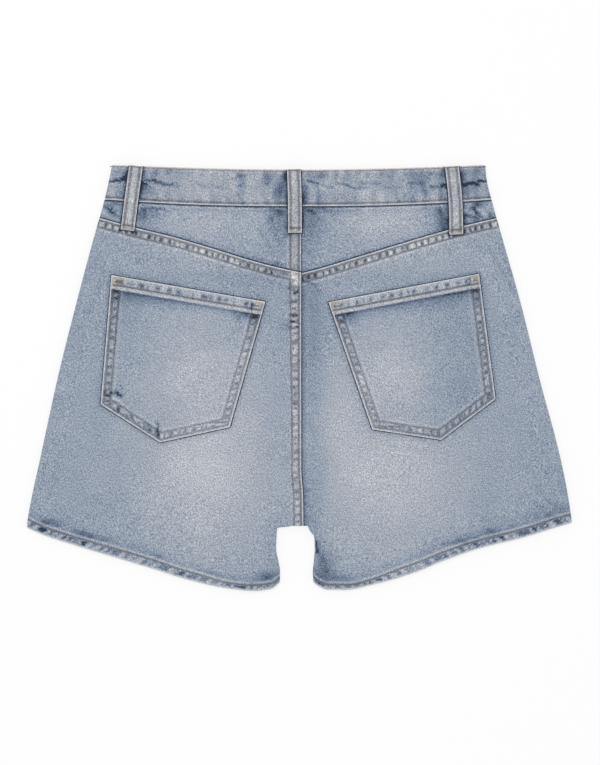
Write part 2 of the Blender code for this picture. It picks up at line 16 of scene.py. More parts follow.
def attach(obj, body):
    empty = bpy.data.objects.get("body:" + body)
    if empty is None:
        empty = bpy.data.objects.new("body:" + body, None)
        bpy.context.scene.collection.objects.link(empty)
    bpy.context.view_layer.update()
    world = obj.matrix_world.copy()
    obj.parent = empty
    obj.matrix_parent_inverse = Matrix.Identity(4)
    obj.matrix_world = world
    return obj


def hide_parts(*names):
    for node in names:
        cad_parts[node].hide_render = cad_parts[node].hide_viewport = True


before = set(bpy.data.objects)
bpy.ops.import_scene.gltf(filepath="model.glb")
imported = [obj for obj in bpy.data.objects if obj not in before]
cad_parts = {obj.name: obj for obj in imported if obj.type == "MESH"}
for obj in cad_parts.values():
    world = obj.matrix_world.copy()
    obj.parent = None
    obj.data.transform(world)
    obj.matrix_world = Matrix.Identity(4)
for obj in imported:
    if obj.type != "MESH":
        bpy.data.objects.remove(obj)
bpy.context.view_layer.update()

bl_info = {
    "name": "Washed denim shorts",
    "version": (1, 0, 0),
    "blender": (4, 5, 0),
    "location": "View3D > Sidebar > Shorts",
    "description": "Builds washed denim shorts laid flat, piece by piece",
    "category": "Add Mesh",
}

MM = 0.001
BODY = "root"
SIGN = {"left": -1.0, "right": 1.0}

# ---------------------------------------------------------------- sizes of the garment, mm

CLOTH = 1.0
BAND_WALL = 1.7
BAND_RADIUS = 2.9
BAND_ROWS = (1.75, 2.6)     # stitch rows: below the waistband's top edge, above its bottom edge
FOLD_RADIUS = 2.4
HEM_WALL = 2.3
HEM_EDGE_WALL = 1.5
HEM_DEPTH = 10.0
HEM_END = 12.5
LOW_HEIGHT = 3.5
HIGH_HEIGHT = 5.1
FOLD_SPREAD = 15.0
HEM_SPREAD = 14.0
WAIST_UP = 182.0
WAIST_SPREAD = 42.0
FLY_HALF = 22.0
FLY_SPREAD = 75.0
FELL_RISE = 0.6
FELL_END = 13.0
FELL_ROWS = (2.5, 9.1)
FELL_ROW_START = {"left": 10.0, "right": 1.5}
FELL_ROW_END = 197.0
SEAT_ROWS_TOP = 172.0
BAND_ROW_ENDS = (-190.0, 187.0)
LOW_ROW_SPREAD = 1.012      # the waistband's lower row is longer than its upper one
POCKET_ROWS = (2.9, 9.3)
POCKET_EDGE_WIDTH = 9.4
POCKET_EDGE_RISE = 0.5
POCKET_HEM_WIDTH = 13.7
POCKET_HEM_RISE = 1.1
POCKET_HEM_ROW = 9.2
POCKET_ROW_END = 1.8        # a pocket's rows end this far inside its edges
POCKET_GAP = 0.5            # room left under the pocket's cloth
POCKET_UNDER = 0.45         # height of its under side over the panel
POCKET_THINNEST = 0.6
LOOP_WIDTH = 13.6
LOOP_WALL = 1.6
LOOP_ARCH = 1.0
LOOP_ROW = 2.9
LOOP_BEND = {"left": 0.0, "centre": 0.4, "right": 1.2}
FRONT_DIP = 22.0
FRONT_HEM_LIFT = 7.0
FRONT_SLACK = 0.35
FLY_EDGE = 3.0
FLY_MIDDLE = -6.0
FLY_END = 42.0
UNDERLAP = 34.0
BUTTON_LIFT = 2.5
BUTTON_SPREAD = 48.0
BUTTON_REACH = (95.0, 10.0)
BUTTON_RADIUS = 8.5
BUTTON_HEIGHT = 2.1
BUTTON_PLACE = (-5.0, 169.5)
CROTCH_UP = -148.0
CROTCH_STEP = 1.8
CROTCH_STEP_ACROSS = (-12.5, -8.5)
SIDE_ROW_LIFT = 62.0
SIDE_ROW_ACROSS = (30.0, 250.0)
HEM_START_UP = -200.0
HEM_STOP_UP = -148.0
HAIR = 0.1                  # the hairline left between two sewn pieces
SEAM_GAP = {"left": 0.0, "right": HAIR}
BACK_LOWEST = (HIGH_HEIGHT + HAIR) / 2.0
FRONT_HIGHEST = (HIGH_HEIGHT - HAIR) / 2.0
FAR = 99.0                  # a distance past which nothing shows

BAND_TOP = {"middle": 208.0, "rise": 5.0, "half": 188.0, "power": 1.6}
BAND_BOTTOM = {"middle": 171.6, "rise": 6.8, "half": 193.0, "power": 2.2}


def table(columns, *rows):
    """Rows of values under named columns."""
    return [dict(zip(columns.split(), row)) for row in rows]


SIDES = table(
    "up left right",
    (214.0, -187.4, 185.6), (198.0, -190.6, 187.4), (178.0, -195.2, 192.3),
    (138.0, -206.5, 203.5), (78.0, -222.5, 220.5), (-2.0, -242.5, 240.5),
    (-82.0, -259.8, 261.5), (-122.0, -268.5, 269.3), (-146.0, -272.5, 272.5),
    (-215.0, -276.0, 276.0),
)
INNER_LEGS = table(
    "up left right",
    (-148.0, -21.8, 8.4), (-153.0, -22.6, 10.4), (-159.0, -23.0, 14.8), (-171.0, -23.4, 15.2),
    (-182.0, -21.3, 14.4), (-194.0, -19.5, 13.3), (-206.0, -19.7, 14.0), (-214.0, -19.8, 15.0),
)
HEMS = table(
    "out left right",
    (13.0, -201.0, -203.5), (20.0, -205.0, -209.0), (28.0, -211.0, -211.8),
    (45.0, -213.0, -212.0), (75.0, -210.0, -206.3), (115.0, -200.8, -194.6),
    (145.0, -191.4, -182.4), (180.0, -180.8, -170.4), (225.0, -167.2, -159.2),
    (255.0, -157.4, -149.9), (273.0, -149.5, -144.6),
)
# Height of a hem's stitch row over its edge: the turning is narrow by the inner leg.
HEM_ROW_NARROW = 5.6
HEM_ROW_WIDE = 8.7
# Uneven marks along a seam or hem: their mean spacing, the share of it that a mark fills, and
# how far spacing and length vary from their means.
MARKS = {
    "yoke": {"pitch": 6.6, "share": 0.6, "spread": 0.28},
    "seat": {"pitch": 6.9, "share": 0.62, "spread": 0.34},
    "hem": {"pitch": 7.6, "share": 0.64, "spread": 0.46},
    "mouth": {"pitch": 9.0, "share": 0.46, "spread": 0.36},
    "pocket": {"pitch": 6.7, "share": 0.58, "spread": 0.34},
}
# Seeds of the marks, for each kind and side.
SEEDS = {
    "yoke": {"left": 11, "right": 12},
    "hem": {"left": 21, "right": 22},
    "pocket": {"left": 41, "right": 42},
    "mouth": {"left": 44, "right": 45},
    "loop": {"left": 51, "centre": 52, "right": 53},
}
SEAT_SEED = 3
MARKS_REACH = 300.0         # marks are laid this far either way from the garment's middle
MARKS_SOFT = 0.65           # half width of a mark's blurred end
# Spread of the groove that a stitch row pulls into the cloth.
ROW_SPREAD = 1.05
FELL_ROW_SPREAD = 1.1
YOKE_SEAMS = table(
    "out left right",
    (0.0, 105.6, 104.1), (20.0, 109.9, 109.2), (50.0, 117.9, 118.4), (90.0, 130.4, 130.7),
    (130.0, 141.9, 142.7), (165.0, 150.4, 152.2), (205.0, 161.4, 161.7),
)
SEAT_SEAM = table(
    "up across",
    (220.0, 1.6), (-90.0, 1.8), (-120.0, 3.6), (-150.0, 4.0),
)
# Place of the seat seam's outer stitch row: its fold is wider above than between the legs.
SEAT_ROW_WIDE = 10.8
SEAT_ROW_NARROW = 9.4
POCKETS = {
    "left": {
        "top_out": (-188.0, 102.9), "top_in": (-34.1, 76.2),
        "low_out": (-198.8, -26.3), "tip": (-139.5, -64.5), "low_in": (-69.7, -49.2),
    },
    "right": {
        "top_out": (179.5, 104.2), "top_in": (28.9, 75.8),
        "low_out": (196.0, -21.1), "tip": (141.6, -61.9), "low_in": (72.7, -51.4),
    },
}
LOOPS = {
    "left": {"top": (-163.2, 212.0), "end": (-171.9, 147.6)},
    "centre": {"top": (-5.6, 208.4), "end": (-4.5, 144.8)},
    "right": {"top": (152.1, 211.6), "end": (156.7, 143.4)},
}

# Rubbed pale areas and unrubbed dark ones, and painted shade beside belt loops, seams and pocket mouths:
# middle, spread both ways, and change of tone.
AREA = "x y wide tall tone"
LEG_WASH_AND_SHADE = table(
    AREA,
    (-92, -90, 68, 84, 0.30), (-88, 130, 52, 26, 0.12), (140, -162, 30, 12, -0.08),
    (95, -102, 64, 80, 0.25), (42, -35, 20, 66, 0.15), (105, 124, 62, 24, 0.11),
    (14, 60, 8, 70, -0.14), (-26, -110, 16, 60, -0.05), (14, -110, 11, 72, -0.12),
    (-30, 98, 26, 18, -0.06), (26, -190, 9, 14, -0.34), (40, -200, 14, 7, -0.16),
    (-33, -198, 10, 5, -0.26), (-48, -206, 10, 4, -0.12), (245, -135, 30, 14, -0.04),
    (-225, -145, 40, 18, -0.03), (-110, 102, 75, 7, -0.04), (100, 100, 75, 6, -0.03),
    (-56, 0, 22, 60, 0.04), (60, -70, 16, 40, 0.05), (-250, -144, 11, 3.2, -0.24),
    (-217, -155.5, 5, 3, -0.24), (-209, -158.5, 3, 2.4, -0.26), (-193, -162, 4.4, 1.7, -0.24),
    (-139.5, -178.5, 2.6, 2, -0.24), (-3.5, 100, 5, 5, 0.14), (163, -163, 8, 3.4, -0.26),
    (176.5, -159.5, 4.5, 2, -0.24), (190.5, -153.5, 7.5, 3.4, -0.24), (214.5, -148, 2, 1.4, -0.24),
)
POCKET_WASH_AND_SHADE = table(
    AREA,
    (-100, -4, 62, 72, 0.27), (92, 2, 48, 66, 0.27), (-172, 82, 22, 9, -0.14),
    (-52, 64, 12, 6, -0.24), (-118, 78, 50, 8, -0.1), (156, 87, 26, 7, -0.18),
    (90, 76, 60, 9, -0.14), (48, 62, 12, 7, -0.26), (160, -20, 30, 40, -0.04),
    (-180, 82, 7, 8, -0.04), (177, 84, 7, 9, -0.05), (-44, 61, 6, 6, -0.14),
)
YOKE_WASH_AND_SHADE = table(
    AREA,
    (-92, 155, 60, 24, 0.13), (88, 156, 52, 24, 0.18), (-18, 152, 12, 26, -0.14),
    (12, 158, 13, 26, -0.24), (-157, 162, 5, 7, -0.3), (-182, 174, 5, 3, -0.24),
    (-190, 168, 9, 6, -0.14), (141, 167, 5, 4, -0.26), (144, 155, 6, 13, -0.36),
    (165, 158, 5, 10, -0.22), (177, 174, 4, 3, -0.3), (190, 163, 4, 3, -0.2),
    (-19.5, 164, 4, 3, -0.12), (-28, 159, 2.6, 3.6, -0.24), (-23, 114, 6, 3, -0.2),
    (125.5, 171, 3, 2.4, -0.14), (138, 160, 12, 14, -0.12), (-150, 163, 12, 10, -0.14),
    (-24, 158, 9, 12, -0.1),
)
BAND_WASH_AND_SHADE = table(
    AREA,
    (-86, 190, 50, 26, 0.14), (70, 186, 62, 20, 0.14), (-155.5, 205, 4.6, 7, -0.24),
    (-154.5, 189, 5.5, 9, -0.22), (-174.5, 203.5, 4, 6, -0.28), (-175, 189, 3.4, 9, -0.24),
    (-121.5, 192, 3, 3, -0.22), (-143.5, 205, 3.6, 3, -0.22), (-132.5, 204, 3, 2.4, -0.16),
    (-82.5, 191, 3, 2.4, -0.2), (-59.5, 202, 4, 2.6, -0.26), (-43.5, 190, 4, 3, -0.14),
    (-32, 198, 5.5, 9, -0.28), (-19.5, 187, 6.5, 13, -0.34), (-14.5, 201, 3, 5, -0.26),
    (-36, 182, 4, 5, -0.06), (6, 190, 3.6, 6, -0.24), (6, 181, 4, 6, -0.28),
    (21, 202, 6.5, 4.6, -0.24), (37.5, 204, 2.6, 4, -0.22), (18.5, 181, 2.6, 7, -0.24),
    (68, 203.5, 1.6, 4, -0.22), (103.5, 182, 2.4, 5, -0.2), (74.5, 183, 2, 4, -0.16),
    (55, 182, 3, 7, -0.12), (40, 181, 3, 4, -0.12), (84, 203, 5, 3, -0.12),
    (119, 195, 4.4, 3, -0.24), (125, 187, 3.4, 6, -0.24), (112, 203, 5, 4, -0.16),
    (126, 203, 7, 4, -0.14), (143, 205, 3.8, 7, -0.24), (142, 183, 3.4, 7, -0.22),
    (162.5, 203, 3.2, 7, -0.24), (166, 187, 4, 6, -0.22), (174, 205, 6, 5, -0.1),
    (100, 190, 12, 18, -0.06), (60, 170, 40, 6, 0.05),
)

# Creases listed one by one: ends, half width, depth (a trough is positive) and change of tone.
CREASE = "x0 y0 x1 y1 width depth tone"
BAND_CREASES = table(
    CREASE,
    (-190, 196.2, -172.5, 198.6, 1.2, 0.5, -0.62), (-180, 199.6, -174, 200, 1.3, 0.3, -0.4),
    (-153, 197.4, -143, 197.2, 1.0, 0.4, -0.4), (-146, 197.2, -134, 193.4, 1.9, 0.5, -0.5),
    (-136, 193.6, -126.5, 193.2, 1.5, 0.4, -0.42), (-158, 195.6, -150, 192.6, 1.3, 0.4, -0.36),
    (-154, 195.6, -149, 192.2, 0.7, -0.2, 0.34), (-109.5, 196, -95, 191, 1.7, 0.2, -0.16),
    (-95, 191.2, -78, 190.6, 1.6, 0.2, -0.12), (-72, 194, -56, 193, 1.6, 0.2, -0.12),
    (-21.5, 205, -28.5, 192, 1.4, -0.25, 0.26), (-28.5, 192, -29.6, 181, 1.4, -0.2, 0.2),
    (10, 196.2, 18.6, 194, 1.3, 0.35, -0.42), (23.5, 192.4, 33.5, 190, 1.3, 0.3, -0.3),
    (34.5, 195.2, 45.5, 193.2, 1.4, 0.35, -0.34), (45.5, 193.2, 55.5, 189.2, 1.1, 0.35, -0.36),
    (55.5, 189.4, 67.5, 190, 1.1, 0.3, -0.3), (63.5, 195, 80, 194.2, 1.4, 0.25, -0.28),
    (85.5, 190, 105.5, 191, 1.6, 0.2, -0.16), (108, 194.6, 113, 193.6, 1.6, 0.2, -0.24),
    (120.5, 178, 124.5, 189, 1.4, -0.2, 0.14), (124.5, 189, 133.5, 196, 1.4, -0.2, 0.16),
    (131, 191.2, 138, 190.8, 1.5, 0.3, -0.36), (141, 192, 147.4, 192.5, 2.0, 0.4, -0.44),
    (162, 193, 166.5, 193, 1.3, 0.4, -0.56), (166.5, 193.2, 171.8, 195.6, 1.6, 0.5, -0.62),
    (171.8, 195.6, 179, 193.2, 1.4, 0.5, -0.56), (179, 196.8, 187.4, 196.8, 1.3, 0.5, -0.62),
    (8, 195, 14, 186, 1.5, -0.2, 0.14),
)
YOKE_CREASES = table(
    CREASE,
    (-158.5, 174.6, -162.4, 162.5, 0.9, -0.35, 0.42), (-159, 168.4, -148, 169.8, 2.2, 0.35, -0.2),
    (-148, 169.8, -136, 168.6, 1.3, 0.3, -0.22), (-136, 168.4, -126, 163.6, 0.9, 0.2, -0.14),
    (-153, 172.4, -141, 172.6, 1.0, -0.2, 0.14), (-195.5, 172, -182, 162, 1.5, 0.35, -0.3),
    (-190, 176, -182, 170, 1.1, -0.2, 0.14), (-196.5, 166, -184, 157.6, 1.3, -0.25, 0.2),
    (-29.5, 168.5, -15, 164, 2.2, 0.3, -0.14), (-26, 161, -21.5, 152, 1.0, -0.2, 0.18),
    (-13, 171, -10.5, 165, 1.0, -0.2, 0.16), (4.5, 168.4, 11, 167.2, 1.3, 0.35, -0.2),
    (11, 167.2, 17, 163.2, 1.2, 0.35, -0.2), (18, 170, 33.5, 166.4, 1.1, 0.25, -0.2),
    (29, 166, 35, 161, 1.0, 0.2, -0.14), (42, 166.4, 57, 168.2, 1.0, 0.2, -0.12),
    (142, 172.5, 146.6, 162, 0.9, -0.25, 0.26), (138.5, 154, 143, 146, 0.9, -0.2, 0.18),
    (172, 170, 181.5, 162, 2.2, 0.45, -0.4), (165.5, 163, 177, 160, 1.6, 0.4, -0.34),
    (169.5, 171, 174.5, 164, 1.1, -0.3, 0.26), (179, 168.4, 187, 162, 1.3, -0.35, 0.36),
    (162, 170, 168, 166, 1.2, -0.2, 0.16), (-40, 150, -26, 122, 2.2, 0.25, -0.08),
    (-30, 142, -18, 122, 1.8, -0.2, 0.08), (-24, 130, -14, 120, 1.1, 0.2, -0.14),
    (5, 132, 13, 118, 1.5, 0.25, -0.12), (62, 150, 96, 158, 2.4, -0.15, 0.04),
)
LEG_CREASES = table(
    CREASE,
    (190, 128, 214, 88, 1.7, 0.35, -0.14), (198, 132, 212, 104, 1.4, 0.3, -0.12),
    (176, 118, 196, 84, 1.7, -0.25, 0.07), (-198, 96, -214, 60, 2.2, 0.25, -0.05),
    (8, 96, 16, 94, 1.4, 0.2, -0.3), (6.5, 98.6, 16, 96.4, 1.0, -0.25, 0.24),
    (15.6, 92.6, 20.4, 87.6, 0.8, 0.3, -0.3), (17.6, 93.6, 21.4, 88.6, 0.8, -0.25, 0.24),
    (-19, 96, -12, 89, 2.6, 0.25, -0.26), (-17.5, 84, -12, 76, 1.6, 0.2, -0.16),
    (-16.5, 64, -13.5, 57, 1.5, 0.3, -0.26), (-13.6, 56, -11.2, 52, 1.5, 0.3, -0.26),
    (-15.4, 54.6, -12.4, 53.4, 1.4, -0.25, 0.26), (-18, 56, -13.4, 44, 1.1, -0.2, 0.16),
    (-12.8, 51, -10.6, 48.4, 1.0, 0.25, -0.24), (-16, -64, -11, -84, 1.4, 0.3, -0.1),
    (5.4, -107, 10.6, -108.4, 0.8, 0.2, 0.14), (6, -111.4, 11.2, -112.4, 0.9, 0.25, -0.2),
    (5, -125, 9.4, -128, 0.9, 0.2, -0.14), (244, -118, 266, -136, 1.8, 0.3, -0.09),
    (236, -124, 256, -142, 1.6, 0.3, -0.07), (16.6, -163.4, 17.6, -174, 1.2, 0.35, -0.5),
    (17.4, -166, 24, -182, 2.4, 0.35, -0.2), (25.6, -178, 31, -196, 1.1, -0.25, 0.1),
    (14.5, -150, 31, -168, 0.8, -0.15, 0.1), (18, -152.6, 34, -171, 0.8, 0.15, -0.1),
    (31, -195, 31.5, -203, 0.9, 0.2, 0.12), (-100, 104, -60, 98, 2.2, 0.2, -0.05),
    (8, -40, 18, -62, 1.8, 0.2, -0.07), (-232, -60, -246, -108, 2.6, 0.2, -0.04),
)
POCKET_CREASES = table(
    CREASE,
    (-188.4, -14.6, -183, -14.6, 1.5, 0.5, -0.5), (-183, -14.4, -178.4, -18.6, 2.0, 0.5, -0.6),
    (-195, -14.4, -189.6, -17.4, 2.4, 0.3, -0.32), (-186, -20, -178, -23, 1.5, -0.3, 0.2),
    (-179.6, -7, -177.6, -11.6, 1.3, 0.2, -0.26), (-141.9, -45.6, -141.2, -57.6, 1.3, 0.4, -0.5),
    (-152, -46.6, -151.4, -52, 1.5, 0.3, -0.3), (-182, -31, -180.6, -33.6, 1.2, 0.2, -0.3),
    (-174, 77, -166, 69.6, 0.9, -0.15, 0.12), (-168, 80, -160, 71, 0.9, -0.15, 0.1),
    (-131, 72, -119, 62, 1.1, 0.2, -0.12), (-57, 62, -49, 20, 2.2, -0.2, 0.08),
    (128, 86, 140, 74, 1.6, 0.2, -0.08), (-47.6, 75.6, -48.0, 67.6, 1.0, 0.2, -0.5),
    (-176.2, 97.6, -175.6, 92.6, 1.0, 0.2, -0.4), (170.0, 100.6, 169.6, 93.6, 1.2, 0.2, -0.45),
    (-64, 66, -58, 50, 1.5, 0.2, -0.07),
)
# Bartacks at the pockets' upper corners: ends of each bar, its width and its thread.
POCKET_TACKS = table(
    "side x0 y0 x1 y1 width shade",
    ("left", -186.4, 99.8, -174.8, 99.0, 2.0, "ochre"), ("left", -186.6, 98.4, -186.8, 91.6, 1.8, "ochre"),
    ("left", -186.2, 92.4, -178.0, 91.6, 1.6, "worn"), ("left", -177.4, 97.6, -177.0, 92.0, 2.2, "worn"),
    ("left", -45.4, 75.6, -36.8, 74.6, 2.0, "ochre"), ("left", -38.4, 73.6, -38.8, 67.8, 1.8, "ochre"),
    ("left", -46.6, 69.0, -41.0, 68.2, 1.6, "worn"), ("right", 172.6, 101.6, 179.6, 102.0, 2.2, "ochre"),
    ("right", 179.6, 99.0, 180.0, 93.4, 1.6, "ochre"), ("right", 172.4, 93.2, 178.6, 93.6, 1.8, "worn"),
    ("right", 32.2, 75.0, 40.8, 76.2, 2.0, "ochre"), ("right", 33.4, 73.6, 33.8, 67.4, 1.8, "ochre"),
    ("right", 36.2, 68.0, 42.6, 68.8, 1.8, "worn"),
    ("left", -185.0, 96.2, -178.6, 95.6, 2.2, "worn"), ("left", -44.8, 72.4, -40.2, 71.8, 2.0, "worn"),
    ("right", 173.8, 97.4, 178.4, 97.8, 2.2, "worn"), ("right", 35.6, 71.4, 41.4, 72.0, 2.0, "worn"),
)
# Bars across every belt loop, a distance down from its upper end or up from its lower end.
LOOP_TACKS = table(
    "from_end down half width shade",
    (0, 1.3, 6.2, 1.5, "worn"), (1, 4.8, 5.6, 1.8, "worn"), (1, 1.2, 5.8, 1.5, "pale"),
)
FRONT_WASH = table(AREA, (110, 20, 60, 110, 0.25))
SEAM_CREASES = table(
    CREASE,
    (-5.4, 86.6, -1.8, 85.8, 1.7, 0.4, -0.6), (-8.6, 56, -1.8, 56, 1.2, 0.35, -0.62),
    (-8.6, 50.6, -1.8, 50.8, 1.1, 0.3, -0.56), (-8.6, 63, -2.2, 62, 1.0, 0.2, -0.36),
    (-8.4, 53.4, -2, 53.4, 1.0, -0.2, 0.26), (-8.6, 59.4, -2.4, 59.4, 1.2, -0.2, 0.22),
    (-10, 97.6, -9.6, 86, 0.8, 0.25, -0.12), (-8.6, 104, -1, 95, 3.4, -0.45, 0.42),
    (-8, 76.6, -4, 76.4, 0.9, 0.2, -0.22), (-10.6, 107, -10, 98, 0.9, 0.2, -0.1),
)


# ---------------------------------------------------------------- shared shape functions

def smooth_column(rows, key, value):
    """A smooth function through one column of a table, without overshoot, for arrays."""
    points = sorted((row[key], row[value]) for row in rows)
    xs = np.array([point[0] for point in points])
    ys = np.array([point[1] for point in points])
    slopes = np.diff(ys) / np.diff(xs)
    product = slopes[:-1] * slopes[1:]
    total = slopes[:-1] + slopes[1:]
    middle = np.where(product > 0.0, 2.0 * product / np.where(total == 0.0, 1.0, total), 0.0)
    tangents = np.concatenate(([slopes[0]], middle, [slopes[-1]]))

    def at(place):
        place = np.clip(place, xs[0], xs[-1])
        index = np.clip(np.searchsorted(xs, place, side="right") - 1, 0, len(xs) - 2)
        span = xs[index + 1] - xs[index]
        t = (place - xs[index]) / span
        return (
            ys[index] * (2 * t ** 3 - 3 * t ** 2 + 1)
            + tangents[index] * span * (t ** 3 - 2 * t ** 2 + t)
            + ys[index + 1] * (3 * t ** 2 - 2 * t ** 3)
            + tangents[index + 1] * span * (t ** 3 - t ** 2)
        )

    return at


def ease(value, low, high):
    """A soft step from 0 at low to 1 at high."""
    t = np.clip((value - low) / (high - low), 0.0, 1.0)
    return t * t * (3.0 - 2.0 * t)


def bump(value, width):
    """A bell of height 1 at zero."""
    return np.exp(-(value / width) ** 2)


def mix(start, end, share):
    return start + (end - start) * share


def mottle(x, y, size, seed):
    """Smooth random values from -1 to 1 that change over about size millimetres."""
    gx, gy = x / size + seed * 3.7, y / size - seed * 5.3
    left, low = np.floor(gx), np.floor(gy)
    fx, fy = gx - left, gy - low
    fx, fy = fx * fx * (3.0 - 2.0 * fx), fy * fy * (3.0 - 2.0 * fy)

    def corner(dx, dy):
        value = np.sin((left + dx) * 127.1 + (low + dy) * 311.7 + seed * 74.7) * 43758.5453
        return (value - np.floor(value)) * 2.0 - 1.0

    lower = mix(corner(0, 0), corner(1, 0), fx)
    upper = mix(corner(0, 1), corner(1, 1), fx)
    return mix(lower, upper, fy)


side_edge = {side: smooth_column(SIDES, "up", side) for side in SIGN}
inner_leg = {side: smooth_column(INNER_LEGS, "up", side) for side in SIGN}
hem_line = {side: smooth_column(HEMS, "out", side) for side in SIGN}
yoke_line = {side: smooth_column(YOKE_SEAMS, "out", side) for side in SIGN}
seat_seam = smooth_column(SEAT_SEAM, "up", "across")


def seat_second(up):
    """Distance of the seat seam's outer stitch row from the seam."""
    return mix(SEAT_ROW_NARROW, SEAT_ROW_WIDE, ease(up, -50.0, 70.0))


def hem_height(side, x):
    return hem_line[side](np.abs(x))


def front_hem_height(side, x):
    near = abs(float(inner_leg[side](HEM_START_UP)))
    far = abs(float(side_edge[side](HEM_STOP_UP)))
    share = np.clip((np.abs(x) - near) / (far - near), 0.0, 1.0)
    return hem_height(side, x) + FRONT_HEM_LIFT * np.sin(math.pi * share)


def band_edge(edge, x):
    """Height of an edge of the waistband's back."""
    return edge["middle"] + edge["rise"] * (np.abs(x) / edge["half"]) ** edge["power"]


def front_dip(x):
    return FRONT_DIP * np.maximum(0.0, 1.0 - (np.abs(x) / BAND_TOP["half"]) ** 2)


def crotch_height(x):
    """Height of the fold between the legs, with the left leg's allowance a little lower."""
    return CROTCH_UP - CROTCH_STEP * (1.0 - ease(x, *CROTCH_STEP_ACROSS))


def fold_distance(side, x, y):
    """Distance from the nearest folded edge of the laid garment."""
    outward = SIGN[side]
    reach = 5.0
    lean = (side_edge[side](y + reach) - side_edge[side](y - reach)) / (2.0 * reach)
    outer = (side_edge[side](y) - x) * outward / np.hypot(1.0, lean)
    corner = float(inner_leg[side](CROTCH_UP))
    crotch = crotch_height(x)
    beside_leg = (x - inner_leg[side](y)) * outward
    round_corner = np.hypot(x - corner, y - crotch)
    over = np.where((x - corner) * outward > 0.0, round_corner, y - crotch)
    inner = np.where(y < crotch, beside_leg, over)
    return np.maximum(0.0, np.minimum(outer, inner))


def fold_drop(distance):
    share = np.maximum(0.0, 1.0 - distance / FOLD_RADIUS)
    return FOLD_RADIUS * (1.0 - np.sqrt(np.maximum(0.0, 1.0 - share * share)))


def button_rise(x, y):
    beside = np.maximum(0.0, np.abs(x - BUTTON_PLACE[0]) - BUTTON_RADIUS)
    low, high = (BUTTON_PLACE[1] - reach for reach in BUTTON_REACH)
    return BUTTON_LIFT * bump(beside, BUTTON_SPREAD) * ease(y, low, high)


def laid_height(side, x, y):
    """Height of the back's upper face before seams, pockets and edges."""
    folded = bump(fold_distance(side, x, y), FOLD_SPREAD)
    waist = bump(np.maximum(0.0, WAIST_UP - y), WAIST_SPREAD)
    beside_fly = ease(np.abs(x - FLY_MIDDLE), FLY_HALF, FLY_SPREAD)
    fly = (1.0 - beside_fly) * ease(y, FLY_END - 40.0, FLY_END - 4.0)
    hem = bump(np.maximum(0.0, y - hem_height(side, x) - HEM_DEPTH), HEM_SPREAD)
    full = 1.0 - (1.0 - folded) * (1.0 - waist) * (1.0 - fly) * (1.0 - hem)
    return mix(LOW_HEIGHT, HIGH_HEIGHT, full) + button_rise(x, y)


def front_height(x, y):
    lifted = np.maximum(0.0, button_rise(x, y) - FRONT_SLACK)
    return lifted * BUTTON_LIFT / (BUTTON_LIFT - FRONT_SLACK)


def wash_and_shade_tone(areas, x, y):
    """Sum of the rubbed, unrubbed and painted-shade areas at each point."""
    tone = np.zeros_like(x)
    for area in areas:
        spread = np.hypot((x - area["x"]) / area["wide"], (y - area["y"]) / area["tall"])
        tone += area["tone"] * bump(spread, 1.0)
    return tone


def crease(folds, x, y):
    """Height and tone of the listed creases: where two cross, the stronger one shows."""
    # Troughs are painted darker and ridges paler: partly wear of the cloth, partly painted shade and light of
    # the folds.
    height, dark, light = np.zeros_like(x), np.zeros_like(x), np.zeros_like(x)
    for fold in folds:
        length = math.hypot(fold["x1"] - fold["x0"], fold["y1"] - fold["y0"])
        ux, uy = (fold["x1"] - fold["x0"]) / length, (fold["y1"] - fold["y0"]) / length
        along = (x - fold["x0"]) * ux + (y - fold["y0"]) * uy
        aside = (y - fold["y0"]) * ux - (x - fold["x0"]) * uy
        aside = aside + 0.35 * fold["width"] * np.sin(along * 0.9 + fold["x0"])
        width = fold["width"] * (1.0 + 0.3 * mottle(x, y, 3.5, 61))
        beyond = np.maximum(0.0, np.maximum(-along, along - length))
        depth = bump(aside / width, 1.0) * bump(beyond, 0.8 + 0.1 * length)
        height -= fold["depth"] * depth
        dark = np.minimum(dark, fold["tone"] * depth)
        light = np.maximum(light, fold["tone"] * depth)
    return height, dark + light


def roping(along, period, seed):
    """Alternate bulges along a shrunken seam, -1 to 1, uneven in length and strength."""
    drift = 0.45 * mottle(along, along * 0.0, period * 1.9, seed)
    wave = np.cos(2.0 * math.pi * (along / period + drift))
    strength = 0.7 + 0.3 * mottle(along, along * 0.0 + 9.0, period * 1.4, seed + 2)
    return np.clip(1.35 * wave, -1.0, 1.0) * strength


def uneven_marks(kind, run, seed):
    """Marks along a seam or hem, 0 to 1, uneven in spacing, length and strength."""
    pitch, share, spread = (MARKS[kind][name] for name in ("pitch", "share", "spread"))
    draw = np.random.default_rng(seed)
    count = int(2.0 * MARKS_REACH / pitch)
    steps = pitch * (1.0 + spread * draw.uniform(-1.0, 1.0, count))
    middles = np.cumsum(steps) - MARKS_REACH
    halves = 0.5 * share * steps * (1.0 + spread * draw.uniform(-1.0, 1.0, count))
    strengths = 1.0 - 0.5 * draw.random(count) ** 2
    nearest = np.searchsorted(0.5 * (middles[1:] + middles[:-1]), run)
    outside = np.abs(run - middles[nearest]) - halves[nearest]
    return strengths[nearest] * (1.0 - ease(outside, -MARKS_SOFT, MARKS_SOFT))


